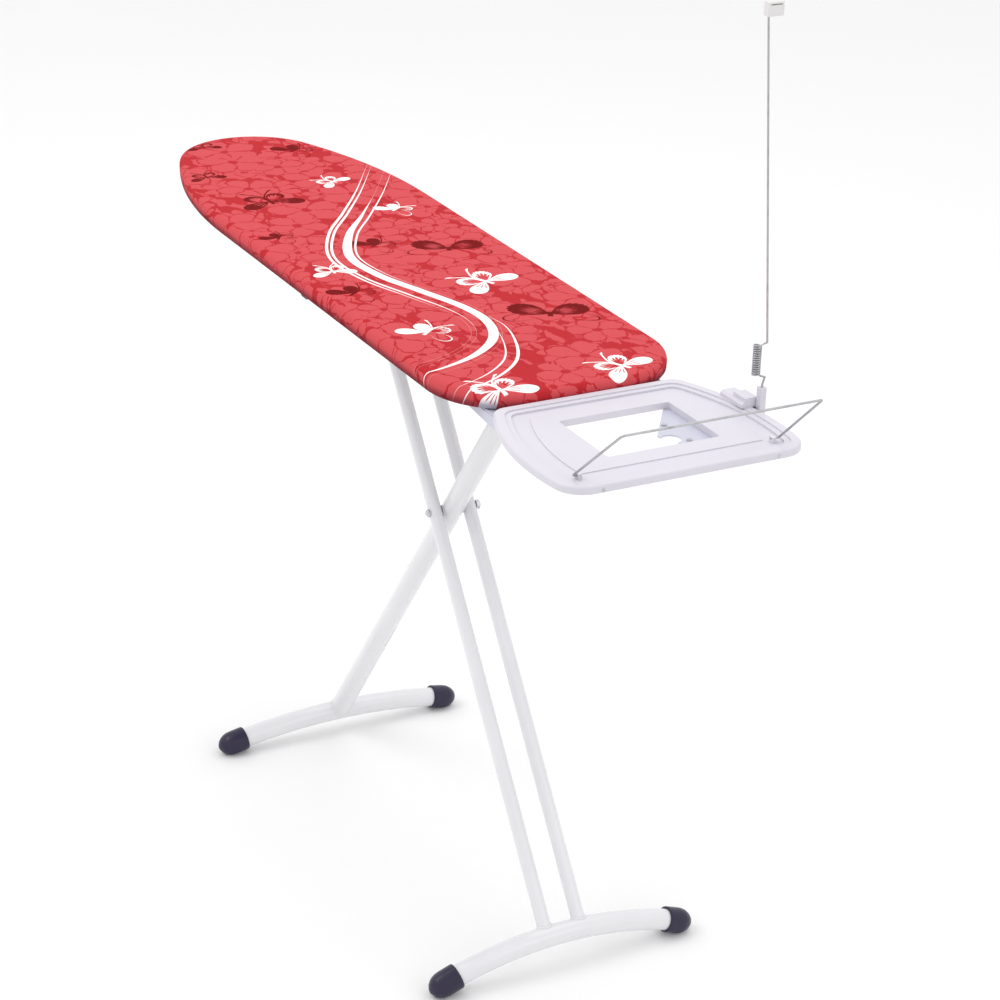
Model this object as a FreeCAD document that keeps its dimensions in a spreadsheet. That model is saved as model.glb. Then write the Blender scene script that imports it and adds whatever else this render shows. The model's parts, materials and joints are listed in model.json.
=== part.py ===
"""Folding ironing board with a fabric cover, a scissor stand, an iron rest and a cord holder.

Frame: the board's wide end faces +X, its nose faces -X, +Z is up, the floor is z = 0.
The origin lies on the floor under the middle of the overall box.
Every sub-part is drawn in board coordinates, where x = 0 is the wide end of the cover,
and is then moved along X by the cell wide_end_x. Lengths are millimetres, angles degrees.
"""
import FreeCAD, Part
import math
import os
import Sketcher

Vector = FreeCAD.Vector
Rotation = FreeCAD.Rotation

DIMENSIONS = {
    # board outline
    "wide_end_x": 474.13,
    "top_height": 963.0,
    "board_length": 1310.0,
    "board_half_width": 190.0,
    "nose_radius": 132.0,
    "flank_radius": 908.0,
    "corner_radius": 125.0,
    "edge_depth": 27.0,
    # layers of the ironing surface
    "cover_thick": 2.4,
    "cover_round": 6.0,
    "padding_thick": 6.6,
    "layer_gap": 0.3,
    "hem_width": 45.0,
    "elastic_width": 5.0,
    "pocket_depth": 5.0,
    # scissor stand
    "leg_angle": 53.5,
    "hinge_height": 914.0,
    "crossing_x": -397.5,
    "crossing_height": 605.0,
    "single_tube_radius": 17.5,
    "double_tube_radius": 11.0,
    "double_tube_offset": 30.0,
    "tube_wall": 1.5,
    "tube_top_overrun": 12.0,
    "foot_tube_radius": 17.0,
    "foot_tube_wall": 1.6,
    "rear_foot_height": 39.3,
    "rear_arc_radius": 1087.0,
    "rear_half_angle": 11.0,
    "front_foot_height": 55.3,
    "front_arc_radius": 615.4,
    "front_half_angle": 19.7,
    "saddle_gap": 8.0,
    "cap_radius": 20.5,
    "cap_length": 50.0,
    "cap_overlap": 26.0,
    "cap_wall_gap": 0.4,
    # pivots
    "pin_radius": 4.0,
    "running_gap": 0.05,
    "bush_radius": 7.0,
    "bush_half_length": 21.5,
    "axle_radius": 6.0,
    "axle_half_length": 57.5,
    "sleeve_radius": 7.5,
    "ear_inner": 22.0,
    "plate_thick": 2.5,
    # height adjuster under the board
    "rail_thick": 2.0,
    "rail_web_inner": 59.0,
    "rail_lip_inner": 48.0,
    "rail_length": 400.0,
    "rail_rear_x": -985.0,
    "block_half_height": 10.0,
    "block_half_length": 15.0,
    "block_clearance": 0.5,
    "rod_radius": 4.0,
    "rod_rise": 12.5,
    "rod_front_x": -598.0,
    "rod_rear_x": -1022.0,
    "lever_drop": 18.5,
    "lever_reach": 124.0,
    "grip_length": 48.0,
    "grip_socket_depth": 34.0,
    # iron rest
    "rest_depth": 294.0,
    "rest_inner_gap": 1.0,
    "rest_side_radius": 425.0,
    "rest_side_x": 198.0,
    "rest_side_y": 229.5,
    "rest_outer_corner": 42.0,
    "rest_inner_corner": 26.0,
    "rest_rim_height": 950.0,
    "rest_rim_round": 4.0,
    "rest_skirt": 11.0,
    "rest_rim_width": 15.0,
    "rest_ledge_width": 9.0,
    "rest_ledge_drop": 2.0,
    "rest_recess": 5.0,
    "rest_wall": 3.0,
    "rest_panel_near_x": 48.0,
    "rest_panel_far_x": 242.0,
    "rest_panel_inset": 50.0,
    "rest_panel_rise": 1.4,
    "rest_boss_radius": 5.0,
    "window_near_x": 71.0,
    "window_far_x": 208.0,
    "window_centre_y": 7.0,
    "window_half_width": 89.0,
    "window_corner": 4.5,
    "screw_hole_radius": 2.2,
    "edge_screw_y": 137.0,
    "edge_screw_drop": 7.4,
    # bail
    "bail_pivot_x": 252.5,
    "bail_pivot_height": 950.5,
    "bail_wire_radius": 1.75,
    "bail_arm": 144.5,
    "bail_half_width": 162.0,
    "bail_top_half_width": 153.5,
    "bail_hook": 12.0,
    "bail_bend_radius": 5.5,
    "bail_lean": 41.943,
    "bail_clip_half_length": 5.0,
    "bail_clip_cover": 2.8,
    # cord holder
    "mast_x": 148.0,
    "mast_y": 200.0,
    "clamp_start_x": 86.0,
    "clamp_jaw": 6.0,
    "socket_half_side": 5.4,
    "socket_base_height": 930.0,
    "socket_top_height": 980.0,
    "socket_bore_depth": 32.0,
    "mast_turn": 61.4,
    "mast_wire_radius": 1.5,
    "mast_bend": 3.0,
    "coil_offset": 10.0,
    "coil_radius": 5.4,
    "coil_wire_radius": 1.1,
    "coil_pitch": 3.36,
    "coil_turns": 14.0,
    "coil_base_height": 997.0,
    "mast_top_shift": 27.6,
    "mast_top_height": 1518.0,
    "clip_width": 11.7,
    "clip_depth": 25.5,
    "clip_height": 19.0,
    "clip_grip_depth": 10.5,
    "clip_near_wall": 3.8,
}

doc = FreeCAD.newDocument("IroningBoard")
sheet = doc.addObject("Spreadsheet::Sheet", "Sheet")
for row, (alias, number) in enumerate(DIMENSIONS.items(), start=1):
    sheet.set("A%d" % row, alias)
    sheet.set("B%d" % row, str(number))
    sheet.setAlias("B%d" % row, alias)
doc.recompute()


class Size:
    """A number together with the spreadsheet expression that gives it."""

    def __init__(self, number, text):
        self.number = float(number)
        self.text = text

    def __add__(self, other):
        other = size(other)
        return Size(self.number + other.number, "(%s + %s)" % (self.text, other.text))

    def __sub__(self, other):
        other = size(other)
        return Size(self.number - other.number, "(%s - %s)" % (self.text, other.text))

    def __mul__(self, other):
        other = size(other)
        return Size(self.number * other.number, "(%s * %s)" % (self.text, other.text))

    def __truediv__(self, other):
        other = size(other)
        return Size(self.number / other.number, "(%s / %s)" % (self.text, other.text))

    def __neg__(self):
        return Size(-self.number, "(-1 * %s)" % self.text)

    __radd__ = __add__
    __rmul__ = __mul__


def size(value):
    """Turn a plain number into a Size and leave a Size as it is."""
    if isinstance(value, Size):
        return value
    return Size(value, repr(float(value)))


def dim(alias):
    """The Size of a spreadsheet cell."""
    return Size(DIMENSIONS[alias], "Sheet." + alias)


def sine(angle):
    return Size(math.sin(math.radians(angle.number)), "sin(%s * 1 deg)" % angle.text)


def cosine(angle):
    return Size(math.cos(math.radians(angle.number)), "cos(%s * 1 deg)" % angle.text)


END_X = dim("wide_end_x")
TOP = dim("top_height")
UNDERSIDE = TOP - dim("edge_depth")
CORE_BASE = UNDERSIDE + dim("cover_thick")
HINGE_Z = dim("hinge_height")
UPPER_REACH = (HINGE_Z - dim("crossing_height")) / sine(dim("leg_angle"))
UPPER_RUN = UPPER_REACH * cosine(dim("leg_angle"))
FRONT_PIVOT_X = dim("crossing_x") + UPPER_RUN
REAR_PIVOT_X = dim("crossing_x") - UPPER_RUN
FOOT_Z = {foot: dim(foot + "_foot_height") for foot in ("front", "rear")}
ARC_RADIUS = {foot: dim(foot + "_arc_radius") for foot in FOOT_Z}
HALF_ANGLE = {foot: dim(foot + "_half_angle") for foot in FOOT_Z}
LOWER_REACH = {foot: (dim("crossing_height") - FOOT_Z[foot]) / sine(dim("leg_angle")) for foot in FOOT_Z}
FOOT_X = {
    "front": dim("crossing_x") + LOWER_REACH["front"] * cosine(dim("leg_angle")),
    "rear": dim("crossing_x") - LOWER_REACH["rear"] * cosine(dim("leg_angle")),
}
ROD_Z = HINGE_Z + dim("rod_rise")
RIM_Z = dim("rest_rim_height")
SIDES = {"near": -1, "far": 1}
parts = []


# ---------------------------------------------------------------- helpers

def bind(obj, path, value):
    """Drive one property of an object from the spreadsheet."""
    obj.setExpression(path, size(value).text)


def put(obj, x=0, y=0, z=0, rotation=None):
    """Place an object, with its base bound to the spreadsheet."""
    place = [size(x), size(y), size(z)]
    base = Vector(place[0].number, place[1].number, place[2].number)
    obj.Placement = FreeCAD.Placement(base, rotation or Rotation())
    for axis, value in zip("xyz", place):
        bind(obj, "Placement.Base." + axis, value)
    return obj


def keep(obj, label):
    """Name a finished sub-part and list it for export."""
    obj.Label = label
    parts.append(obj)
    return obj


def box(name, low, high):
    """A Part::Box between two corners."""
    solid = doc.addObject("Part::Box", name)
    for prop, start, stop in zip(("Length", "Width", "Height"), low, high):
        bind(solid, prop, size(stop) - size(start))
    return put(solid, *low)


def cylinder(name, radius, start, length, axis="Z"):
    """A Part::Cylinder from a start point along one axis."""
    solid = doc.addObject("Part::Cylinder", name)
    bind(solid, "Radius", radius)
    bind(solid, "Height", length)
    turns = {"X": Rotation(Vector(0, 1, 0), 90), "Y": Rotation(Vector(1, 0, 0), -90), "Z": Rotation()}
    return put(solid, start[0], start[1], start[2], turns[axis])


def fuse(name, solids):
    joined = doc.addObject("Part::MultiFuse", name)
    joined.Shapes = solids
    return joined


def cut(name, base, tool):
    result = doc.addObject("Part::Cut", name)
    result.Base = base
    result.Tool = tool
    return result


def group(name, solids):
    """Separate solids that share one node."""
    result = doc.addObject("Part::Compound", name)
    result.Links = solids
    return result


def new_body(name):
    return doc.addObject("PartDesign::Body", name)


def sketch_on(body, role, name, offset=0):
    """A sketch on one of the body's own planes, raised along its normal."""
    sketch = body.newObject("Sketcher::SketchObject", name)
    plane = [item for item in body.Origin.OriginFeatures if item.Role == role][0]
    sketch.AttachmentSupport = (plane, [""])
    sketch.MapMode = "FlatFace"
    sketch.AttachmentOffset = FreeCAD.Placement(Vector(0, 0, size(offset).number), Rotation())
    bind(sketch, "AttachmentOffset.Base.z", offset)
    return sketch


def fix_point(sketch, geometry, end, x, y):
    """Hold one point of the sketch at driven coordinates."""
    for kind, value in (("DistanceX", size(x)), ("DistanceY", size(y))):
        index = sketch.addConstraint(Sketcher.Constraint(kind, -1, 1, geometry, end, value.number))
        sketch.setExpression("Constraints[%d]" % index, value.text)


def fix_radius(sketch, geometry, radius):
    index = sketch.addConstraint(Sketcher.Constraint("Radius", geometry, size(radius).number))
    sketch.setExpression("Constraints[%d]" % index, size(radius).text)


def flat(x, y):
    return Vector(size(x).number, size(y).number, 0)


def polyline(sketch, corners, closed=True):
    """Straight lines through the corners, each corner driven."""
    count = len(corners)
    lines = []
    for index in range(count if closed else count - 1):
        ends = corners[index], corners[(index + 1) % count]
        lines.append(sketch.addGeometry(Part.LineSegment(flat(*ends[0]), flat(*ends[1]))))
    for index, line in enumerate(lines):
        following = index + 1
        if following < len(lines) or closed:
            sketch.addConstraint(Sketcher.Constraint("Coincident", line, 2, lines[following % len(lines)], 1))
        fix_point(sketch, line, 1, *corners[index])
    if not closed:
        fix_point(sketch, lines[-1], 2, *corners[-1])


def bent_path(sketch, corners, radius):
    """An open path of straight runs between the corners, with an arc at every inner corner."""
    points = [flat(*corner) for corner in corners]
    bend = size(radius).number
    ways = [(after - before).normalize() for before, after in zip(points, points[1:])]
    trims = [bend * math.tan(first.getAngle(second) / 2) for first, second in zip(ways, ways[1:])]
    trims = [0.0] + trims + [0.0]
    lines = []
    for index, way in enumerate(ways):
        start = points[index] + way * trims[index]
        stop = points[index + 1] - way * trims[index + 1]
        lines.append(sketch.addGeometry(Part.LineSegment(start, stop)))
    for index in range(1, len(points) - 1):
        before, after = ways[index - 1], ways[index]
        start = points[index] - before * trims[index]
        stop = points[index] + after * trims[index]
        turn = math.copysign(1, before.cross(after).z)
        centre = start + Vector(-before.y, before.x, 0) * (bend * turn)
        angles = [math.atan2(place.y - centre.y, place.x - centre.x) for place in (start, stop)]
        ends = (1, 2) if turn > 0 else (2, 1)
        rim = Part.Circle(centre, Vector(0, 0, 1), bend)
        arc = sketch.addGeometry(Part.ArcOfCircle(rim, *(angles if turn > 0 else angles[::-1])))
        sketch.addConstraint(Sketcher.Constraint("Tangent", lines[index - 1], 2, arc, ends[0]))
        sketch.addConstraint(Sketcher.Constraint("Tangent", arc, ends[1], lines[index], 1))
        fix_radius(sketch, arc, radius)
        corner = sketch.addGeometry(Part.Point(points[index]), True)
        fix_point(sketch, corner, 1, *corners[index])
        sketch.addConstraint(Sketcher.Constraint("PointOnObject", corner, 1, lines[index - 1]))
        sketch.addConstraint(Sketcher.Constraint("PointOnObject", corner, 1, lines[index]))
    fix_point(sketch, lines[0], 1, *corners[0])
    fix_point(sketch, lines[-1], 2, *corners[-1])


def rectangle(sketch, low, high):
    polyline(sketch, [(low[0], low[1]), (high[0], low[1]), (high[0], high[1]), (low[0], high[1])])


def circle(sketch, x, y, radius):
    index = sketch.addGeometry(Part.Circle(flat(x, y), Vector(0, 0, 1), size(radius).number))
    fix_point(sketch, index, 3, x, y)
    fix_radius(sketch, index, radius)


def pad(body, name, sketch, length, middle=False):
    feature = body.newObject("PartDesign::Pad", name)
    feature.Profile = sketch
    feature.Midplane = middle
    bind(feature, "Length", length)
    doc.recompute()
    return feature


def pocket(body, name, sketch, length, middle=False, upward=False):
    """Cut a sketch into the body, and make sure that it removes material."""
    before = body.Shape.Volume
    feature = body.newObject("PartDesign::Pocket", name)
    feature.Profile = sketch
    feature.Midplane = middle
    feature.Reversed = upward
    bind(feature, "Length", length)
    doc.recompute()
    if body.Shape.Volume > before - 0.01:
        raise RuntimeError("%s removes nothing" % name)
    return feature


def revolve(body, name, sketch, axis, angle=360, middle=False):
    feature = body.newObject("PartDesign::Revolution", name)
    feature.Profile = sketch
    feature.ReferenceAxis = (sketch, [axis])
    feature.Midplane = middle
    bind(feature, "Angle", angle)
    doc.recompute()
    return feature


def edges_where(shape, test):
    return ["Edge%d" % number for number, edge in enumerate(shape.Edges, start=1) if test(edge)]


def upright(edge):
    """True for a straight edge that runs along Z."""
    box_of = edge.BoundBox
    return box_of.XLength < 1e-4 and box_of.YLength < 1e-4 and box_of.ZLength > 0.5


def at_height(height):
    """A test for edges that lie level at one height."""
    return lambda edge: edge.BoundBox.ZLength < 1e-4 and abs(edge.BoundBox.ZMin - height) < 1e-3


def fillet(body, name, base, edges, radius):
    feature = body.newObject("PartDesign::Fillet", name)
    feature.Base = (base, edges)
    bind(feature, "Radius", radius)
    doc.recompute()
    return feature


# ---------------------------------------------------------------- ironing surface

def board_outline(sketch, inset):
    """The board's plan, moved inward: round nose, long flanks, straight sides and round corners."""
    nose_r = dim("nose_radius") - inset
    flank_r = dim("flank_radius") - inset
    corner_r = dim("corner_radius") - inset
    half = dim("board_half_width") - inset
    nose_x = dim("nose_radius") - dim("board_length")
    drop = DIMENSIONS["flank_radius"] - DIMENSIONS["board_half_width"]
    reach = DIMENSIONS["flank_radius"] - DIMENSIONS["nose_radius"]
    flank_x = nose_x.number + math.sqrt(reach ** 2 - drop ** 2)
    lean = math.atan2(drop, flank_x - nose_x.number)
    touch = math.pi - lean
    corner_x = -DIMENSIONS["corner_radius"]
    corner_y = DIMENSIONS["board_half_width"] - DIMENSIONS["corner_radius"]
    end_x = -size(inset)

    def arc(x, y, radius, start, stop):
        round_line = Part.Circle(Vector(x, y, 0), Vector(0, 0, 1), radius.number)
        return sketch.addGeometry(Part.ArcOfCircle(round_line, start, stop))

    def line(x1, y1, x2, y2):
        return sketch.addGeometry(Part.LineSegment(Vector(x1, y1, 0), Vector(x2, y2, 0)))

    nose = arc(nose_x.number, 0, nose_r, touch, 2 * math.pi - touch)
    near_flank = arc(flank_x, drop, flank_r, math.pi + lean, 1.5 * math.pi)
    near_side = line(flank_x, -half.number, corner_x, -half.number)
    near_corner = arc(corner_x, -corner_y, corner_r, 1.5 * math.pi, 2 * math.pi)
    end = line(end_x.number, -corner_y, end_x.number, corner_y)
    far_corner = arc(corner_x, corner_y, corner_r, 0, 0.5 * math.pi)
    far_side = line(corner_x, half.number, flank_x, half.number)
    far_flank = arc(flank_x, -drop, flank_r, 0.5 * math.pi, touch)
    ring = [nose, near_flank, near_side, near_corner, end, far_corner, far_side, far_flank]
    for index, item in enumerate(ring):
        sketch.addConstraint(Sketcher.Constraint("Tangent", item, 2, ring[(index + 1) % 8], 1))
    fix_point(sketch, nose, 3, nose_x, 0)
    fix_radius(sketch, nose, nose_r)
    for item in (near_flank, far_flank):
        fix_radius(sketch, item, flank_r)
    for item in (near_corner, far_corner):
        fix_radius(sketch, item, corner_r)
    for item, side in ((near_side, -1), (far_side, 1)):
        index = sketch.addConstraint(Sketcher.Constraint("DistanceY", -1, 1, item, 1, side * half.number))
        sketch.setExpression("Constraints[%d]" % index, (half * side).text)
    index = sketch.addConstraint(Sketcher.Constraint("DistanceX", -1, 1, end, 1, end_x.number))
    sketch.setExpression("Constraints[%d]" % index, end_x.text)


def make_core():
    """Moulded board panel with shallow weight-saving pockets underneath."""
    body = new_body("board_core_body")
    inset = dim("cover_thick") + dim("layer_gap")
    plan = sketch_on(body, "XY_Plane", "core_plan", CORE_BASE)
    board_outline(plan, inset)
    depth = TOP - dim("cover_thick") - dim("padding_thick") - CORE_BASE
    pad(body, "core_slab", plan, depth)
    cells = sketch_on(body, "XY_Plane", "core_cells", CORE_BASE)
    for column in range(9):
        x = -100.0 - 120.0 * column
        for side in (-1, 1):
            low, high = sorted((side * 88.0, side * 134.0))
            rectangle(cells, (x - 96.0, low), (x, high))
    pocket(body, "core_pockets", cells, dim("pocket_depth"), upward=True)
    keep(put(body, END_X), "board_core")


def make_padding():
    """Foam pad between the panel and the cover."""
    body = new_body("padding_body")
    plan = sketch_on(body, "XY_Plane", "padding_plan", TOP - dim("cover_thick") - dim("padding_thick"))
    board_outline(plan, dim("cover_thick") + dim("layer_gap"))
    pad(body, "padding_sheet", plan, dim("padding_thick"))
    keep(put(body, END_X), "padding")


def make_cover():
    """Fabric cover: a skin over the top and edge, with a hem turned in underneath."""
    body = new_body("cover_body")
    plan = sketch_on(body, "XY_Plane", "cover_plan", UNDERSIDE)
    board_outline(plan, size(0))
    block = pad(body, "cover_block", plan, dim("edge_depth"))
    level = [at_height(UNDERSIDE.number), at_height(TOP.number)]
    rims = edges_where(block.Shape, lambda edge: level[0](edge) or level[1](edge))
    fillet(body, "cover_rounding", block, rims, dim("cover_round"))
    opening = sketch_on(body, "XY_Plane", "hem_opening", UNDERSIDE)
    board_outline(opening, dim("hem_width"))
    pocket(body, "hem_cut", opening, dim("cover_thick"), upward=True)
    hollow = sketch_on(body, "XY_Plane", "hollow_plan", CORE_BASE)
    board_outline(hollow, dim("cover_thick"))
    pocket(body, "hollow_cut", hollow, dim("edge_depth") - dim("cover_thick") * 2, upward=True)
    keep(put(body, END_X), "cover")


def make_hem_elastic():
    """Elastic binding that runs round the inner edge of the hem."""
    body = new_body("hem_elastic_body")
    inset = dim("hem_width") + dim("layer_gap")
    plan = sketch_on(body, "XY_Plane", "elastic_plan", UNDERSIDE)
    board_outline(plan, inset)
    board_outline(plan, inset + dim("elastic_width"))
    pad(body, "elastic_band", plan, dim("cover_thick"))
    keep(put(body, END_X), "hem_elastic")


# ---------------------------------------------------------------- scissor stand

def leg_rotation(lean):
    """Turn local Z onto a leg that leans towards +X (lean 1) or -X (lean -1)."""
    return Rotation(Vector(0, 1, 0), lean * (90 - DIMENSIONS["leg_angle"]))


def make_leg_tube(label, radius, y, lean, bores):
    """One straight leg tube, bored across, and saddled over its foot tube."""
    body = new_body(label + "_body")
    foot = "rear" if lean > 0 else "front"
    start = dim("saddle_gap") - LOWER_REACH[foot]
    stop = UPPER_REACH + dim("tube_top_overrun")
    section = sketch_on(body, "XY_Plane", label + "_section", start)
    circle(section, 0, 0, radius)
    circle(section, 0, 0, radius - dim("tube_wall"))
    pad(body, label + "_tube", section, stop - start)
    for index, (height, bore) in enumerate(bores):
        hole = sketch_on(body, "XZ_Plane", "%s_bore_plan%d" % (label, index))
        circle(hole, 0, height, bore)
        pocket(body, "%s_bore%d" % (label, index), hole, radius * 4, middle=True)
    put(body, dim("crossing_x"), y, dim("crossing_height"), leg_rotation(lean))
    ring = doc.addObject("Part::Torus", label + "_saddle")
    bind(ring, "Radius1", ARC_RADIUS[foot])
    bind(ring, "Radius2", dim("foot_tube_radius"))
    put(ring, FOOT_X[foot], 0, FOOT_Z[foot] - ARC_RADIUS[foot], Rotation(Vector(0, 1, 0), 90))
    keep(put(cut(label + "_cut", body, ring), END_X), label)


def make_foot_tube(foot):
    """Arched cross tube on the floor: a tube section swept on a wide arc."""
    label = foot + "_foot_tube"
    body = new_body(label + "_body")
    section = sketch_on(body, "XZ_Plane", label + "_section")
    circle(section, 0, ARC_RADIUS[foot], dim("foot_tube_radius"))
    circle(section, 0, ARC_RADIUS[foot], dim("foot_tube_radius") - dim("foot_tube_wall"))
    revolve(body, label + "_arc", section, "H_Axis", HALF_ANGLE[foot] * 2, middle=True)
    put(body, END_X + FOOT_X[foot], 0, FOOT_Z[foot] - ARC_RADIUS[foot])
    keep(body, label)


def make_foot_cap(foot, side_name):
    """Soft plastic end cap: sleeve, domed nose and a flat sole."""
    label = "%s_foot_cap_%s" % (foot, side_name)
    side = SIDES[side_name]
    body = new_body(label + "_body")
    profile = sketch_on(body, "XZ_Plane", label + "_profile")
    bore = dim("foot_tube_radius") + dim("cap_wall_gap")
    outer = dim("cap_radius")
    back = dim("cap_overlap")
    front = dim("cap_length") - back
    polyline(profile, [
        (bore, -back), (outer - 1.0, -back), (outer, -back + 1.5), (outer, -back * 0.1),
        (outer - 0.7, front * 0.20), (outer - 2.4, front * 0.42), (outer - 5.2, front * 0.63),
        (outer - 9.3, front * 0.82), (outer - 14.0, front * 0.94), (outer - 17.5, front),
        (0, front), (0, 2.0), (bore, 2.0)])
    revolve(body, label + "_shell", profile, "V_Axis")
    angle = HALF_ANGLE[foot]
    end_y = ARC_RADIUS[foot] * sine(angle)
    end_z = FOOT_Z[foot] - ARC_RADIUS[foot] + ARC_RADIUS[foot] * cosine(angle)
    tilt = Rotation(Vector(1, 0, 0), -side * (90 + angle.number))
    put(body, FOOT_X[foot], end_y * side, end_z, tilt)
    floor = box(label + "_floor", (FOOT_X[foot] - 60, -300, -60), (FOOT_X[foot] + 60, 300, 0))
    keep(put(cut(label + "_cut", body, floor), END_X), label)


def make_hinge():
    """Fixed hinge of the single leg: two ears under the panel, a pin and a plastic bush."""
    plate = dim("plate_thick")
    for side_name, side in SIDES.items():
        body = new_body("hinge_ear_body_" + side_name)
        inner = dim("ear_inner")
        shape = sketch_on(body, "YZ_Plane", "ear_profile_" + side_name)
        ys = [inner * side, (inner + plate) * side, (inner + 26.0) * side]
        polyline(shape, [
            (ys[0], HINGE_Z - 13.0), (ys[1], HINGE_Z - 13.0), (ys[1], CORE_BASE - plate),
            (ys[2], CORE_BASE - plate), (ys[2], CORE_BASE), (ys[0], CORE_BASE)])
        pad(body, "ear_plate_" + side_name, shape, 64.0, middle=True)
        trim = sketch_on(body, "XZ_Plane", "ear_trim_" + side_name)
        for end in (-1, 1):
            polyline(trim, [
                (13.0 * end, HINGE_Z - 14.0), (34.0 * end, HINGE_Z - 14.0),
                (34.0 * end, CORE_BASE - plate - 1.0), (28.0 * end, CORE_BASE - plate - 1.0)])
        pocket(body, "ear_taper_" + side_name, trim, 200.0, middle=True)
        hole = sketch_on(body, "XZ_Plane", "ear_hole_" + side_name)
        circle(hole, 0, HINGE_Z, dim("pin_radius"))
        pocket(body, "ear_bore_" + side_name, hole, 200.0, middle=True)
        screws = sketch_on(body, "XY_Plane", "ear_screws_" + side_name, CORE_BASE - plate)
        for end in (-1, 1):
            circle(screws, 22.0 * end, (inner + 15.0) * side, dim("screw_hole_radius"))
        pocket(body, "ear_screw_holes_" + side_name, screws, plate, upward=True)
        keep(put(body, END_X + FRONT_PIVOT_X), "hinge_ear_" + side_name)
    outer = dim("ear_inner") + plate
    shank = cylinder("hinge_pin_shank", dim("pin_radius"), (0, -outer - 2.0, 0), outer * 2 + 4.0, "Y")
    head = cylinder("hinge_pin_head", 7.0, (0, -outer - 4.5, 0), 4.3, "Y")
    ring = cylinder("hinge_pin_ring", 6.5, (0, outer + 0.2, 0), 1.6, "Y")
    keep(put(fuse("hinge_pin_fuse", [shank, head, ring]), END_X + FRONT_PIVOT_X, 0, HINGE_Z), "hinge_pin")
    length = dim("bush_half_length")
    sleeve = cylinder("bush_outside", dim("bush_radius"), (0, -length, 0), length * 2, "Y")
    bore_radius = dim("pin_radius") + dim("running_gap")
    bore = cylinder("bush_bore", bore_radius, (0, -length - 1.0, 0), length * 2 + 2.0, "Y")
    keep(put(cut("bush_cut", sleeve, bore), END_X + FRONT_PIVOT_X, 0, HINGE_Z), "hinge_bush")


def make_crossing():
    """Pivot bolt through the three leg tubes, with its lock nut and spacer washers."""
    y_out = dim("double_tube_offset") + dim("double_tube_radius")
    y_in = dim("double_tube_offset") - dim("double_tube_radius")
    at = (END_X + dim("crossing_x"), 0, dim("crossing_height"))
    shank = cylinder("crossing_shank", dim("pin_radius"), (0, -y_out - 1.0, 0), y_out * 2 + 9.0, "Y")
    flange = cylinder("crossing_flange", 6.5, (0, -y_out - 1.8, 0), 1.6, "Y")
    dome = doc.addObject("Part::Cone", "crossing_dome")
    for prop, value in (("Radius1", 3.4), ("Radius2", 5.4), ("Height", 3.4)):
        bind(dome, prop, value)
    put(dome, 0, -y_out - 5.2, 0, Rotation(Vector(1, 0, 0), -90))
    keep(put(fuse("crossing_bolt_fuse", [shank, flange, dome]), *at), "crossing_bolt")
    nut = doc.addObject("Part::Prism", "crossing_nut_prism")
    nut.Polygon = 6
    bind(nut, "Circumradius", 7.5)
    bind(nut, "Height", 6.0)
    put(nut, 0, y_out + 0.3, 0, Rotation(Vector(1, 0, 0), -90))
    bore = cylinder("crossing_nut_bore", dim("pin_radius"), (0, y_out - 1.0, 0), 10.0, "Y")
    keep(put(cut("crossing_nut_cut", nut, bore), *at), "crossing_nut")
    washers = []
    thick = y_in - dim("single_tube_radius") - dim("layer_gap")
    for side_name, side in SIDES.items():
        start = y_in - thick if side > 0 else -y_in
        disc = cylinder("washer_disc_" + side_name, 9.0, (0, start, 0), thick, "Y")
        hole = cylinder("washer_hole_" + side_name, dim("pin_radius"), (0, start - 1.0, 0), thick + 2.0, "Y")
        washers.append(cut("washer_" + side_name, disc, hole))
    keep(put(group("spacer_group", washers), *at), "crossing_spacers")


def make_legs():
    """Single rear leg, the pair of front leg tubes, and the foot tubes with their caps."""
    clear = dim("pin_radius") + dim("running_gap")
    rear_bores = [(0, clear), (UPPER_REACH, dim("bush_radius"))]
    make_leg_tube("rear_leg_tube", dim("single_tube_radius"), 0, 1, rear_bores)
    axle_bore = dim("axle_radius") + dim("running_gap")
    sleeves = []
    for side_name, side in SIDES.items():
        y = dim("double_tube_offset") * side
        bores = [(0, dim("pin_radius")), (UPPER_REACH, dim("sleeve_radius"))]
        make_leg_tube("front_leg_tube_" + side_name, dim("double_tube_radius"), y, -1, bores)
        start = y - 12.0
        tube = cylinder("sleeve_outside_" + side_name, dim("sleeve_radius"), (0, start, 0), 24.0, "Y")
        bore = cylinder("sleeve_bore_" + side_name, axle_bore, (0, start - 1.0, 0), 26.0, "Y")
        sleeves.append(cut("sleeve_" + side_name, tube, bore))
    keep(put(group("sleeve_group", sleeves), END_X + REAR_PIVOT_X, 0, HINGE_Z), "axle_sleeves")
    for foot in FOOT_X:
        make_foot_tube(foot)
        for side_name in SIDES:
            make_foot_cap(foot, side_name)


# ---------------------------------------------------------------- height adjuster

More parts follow.
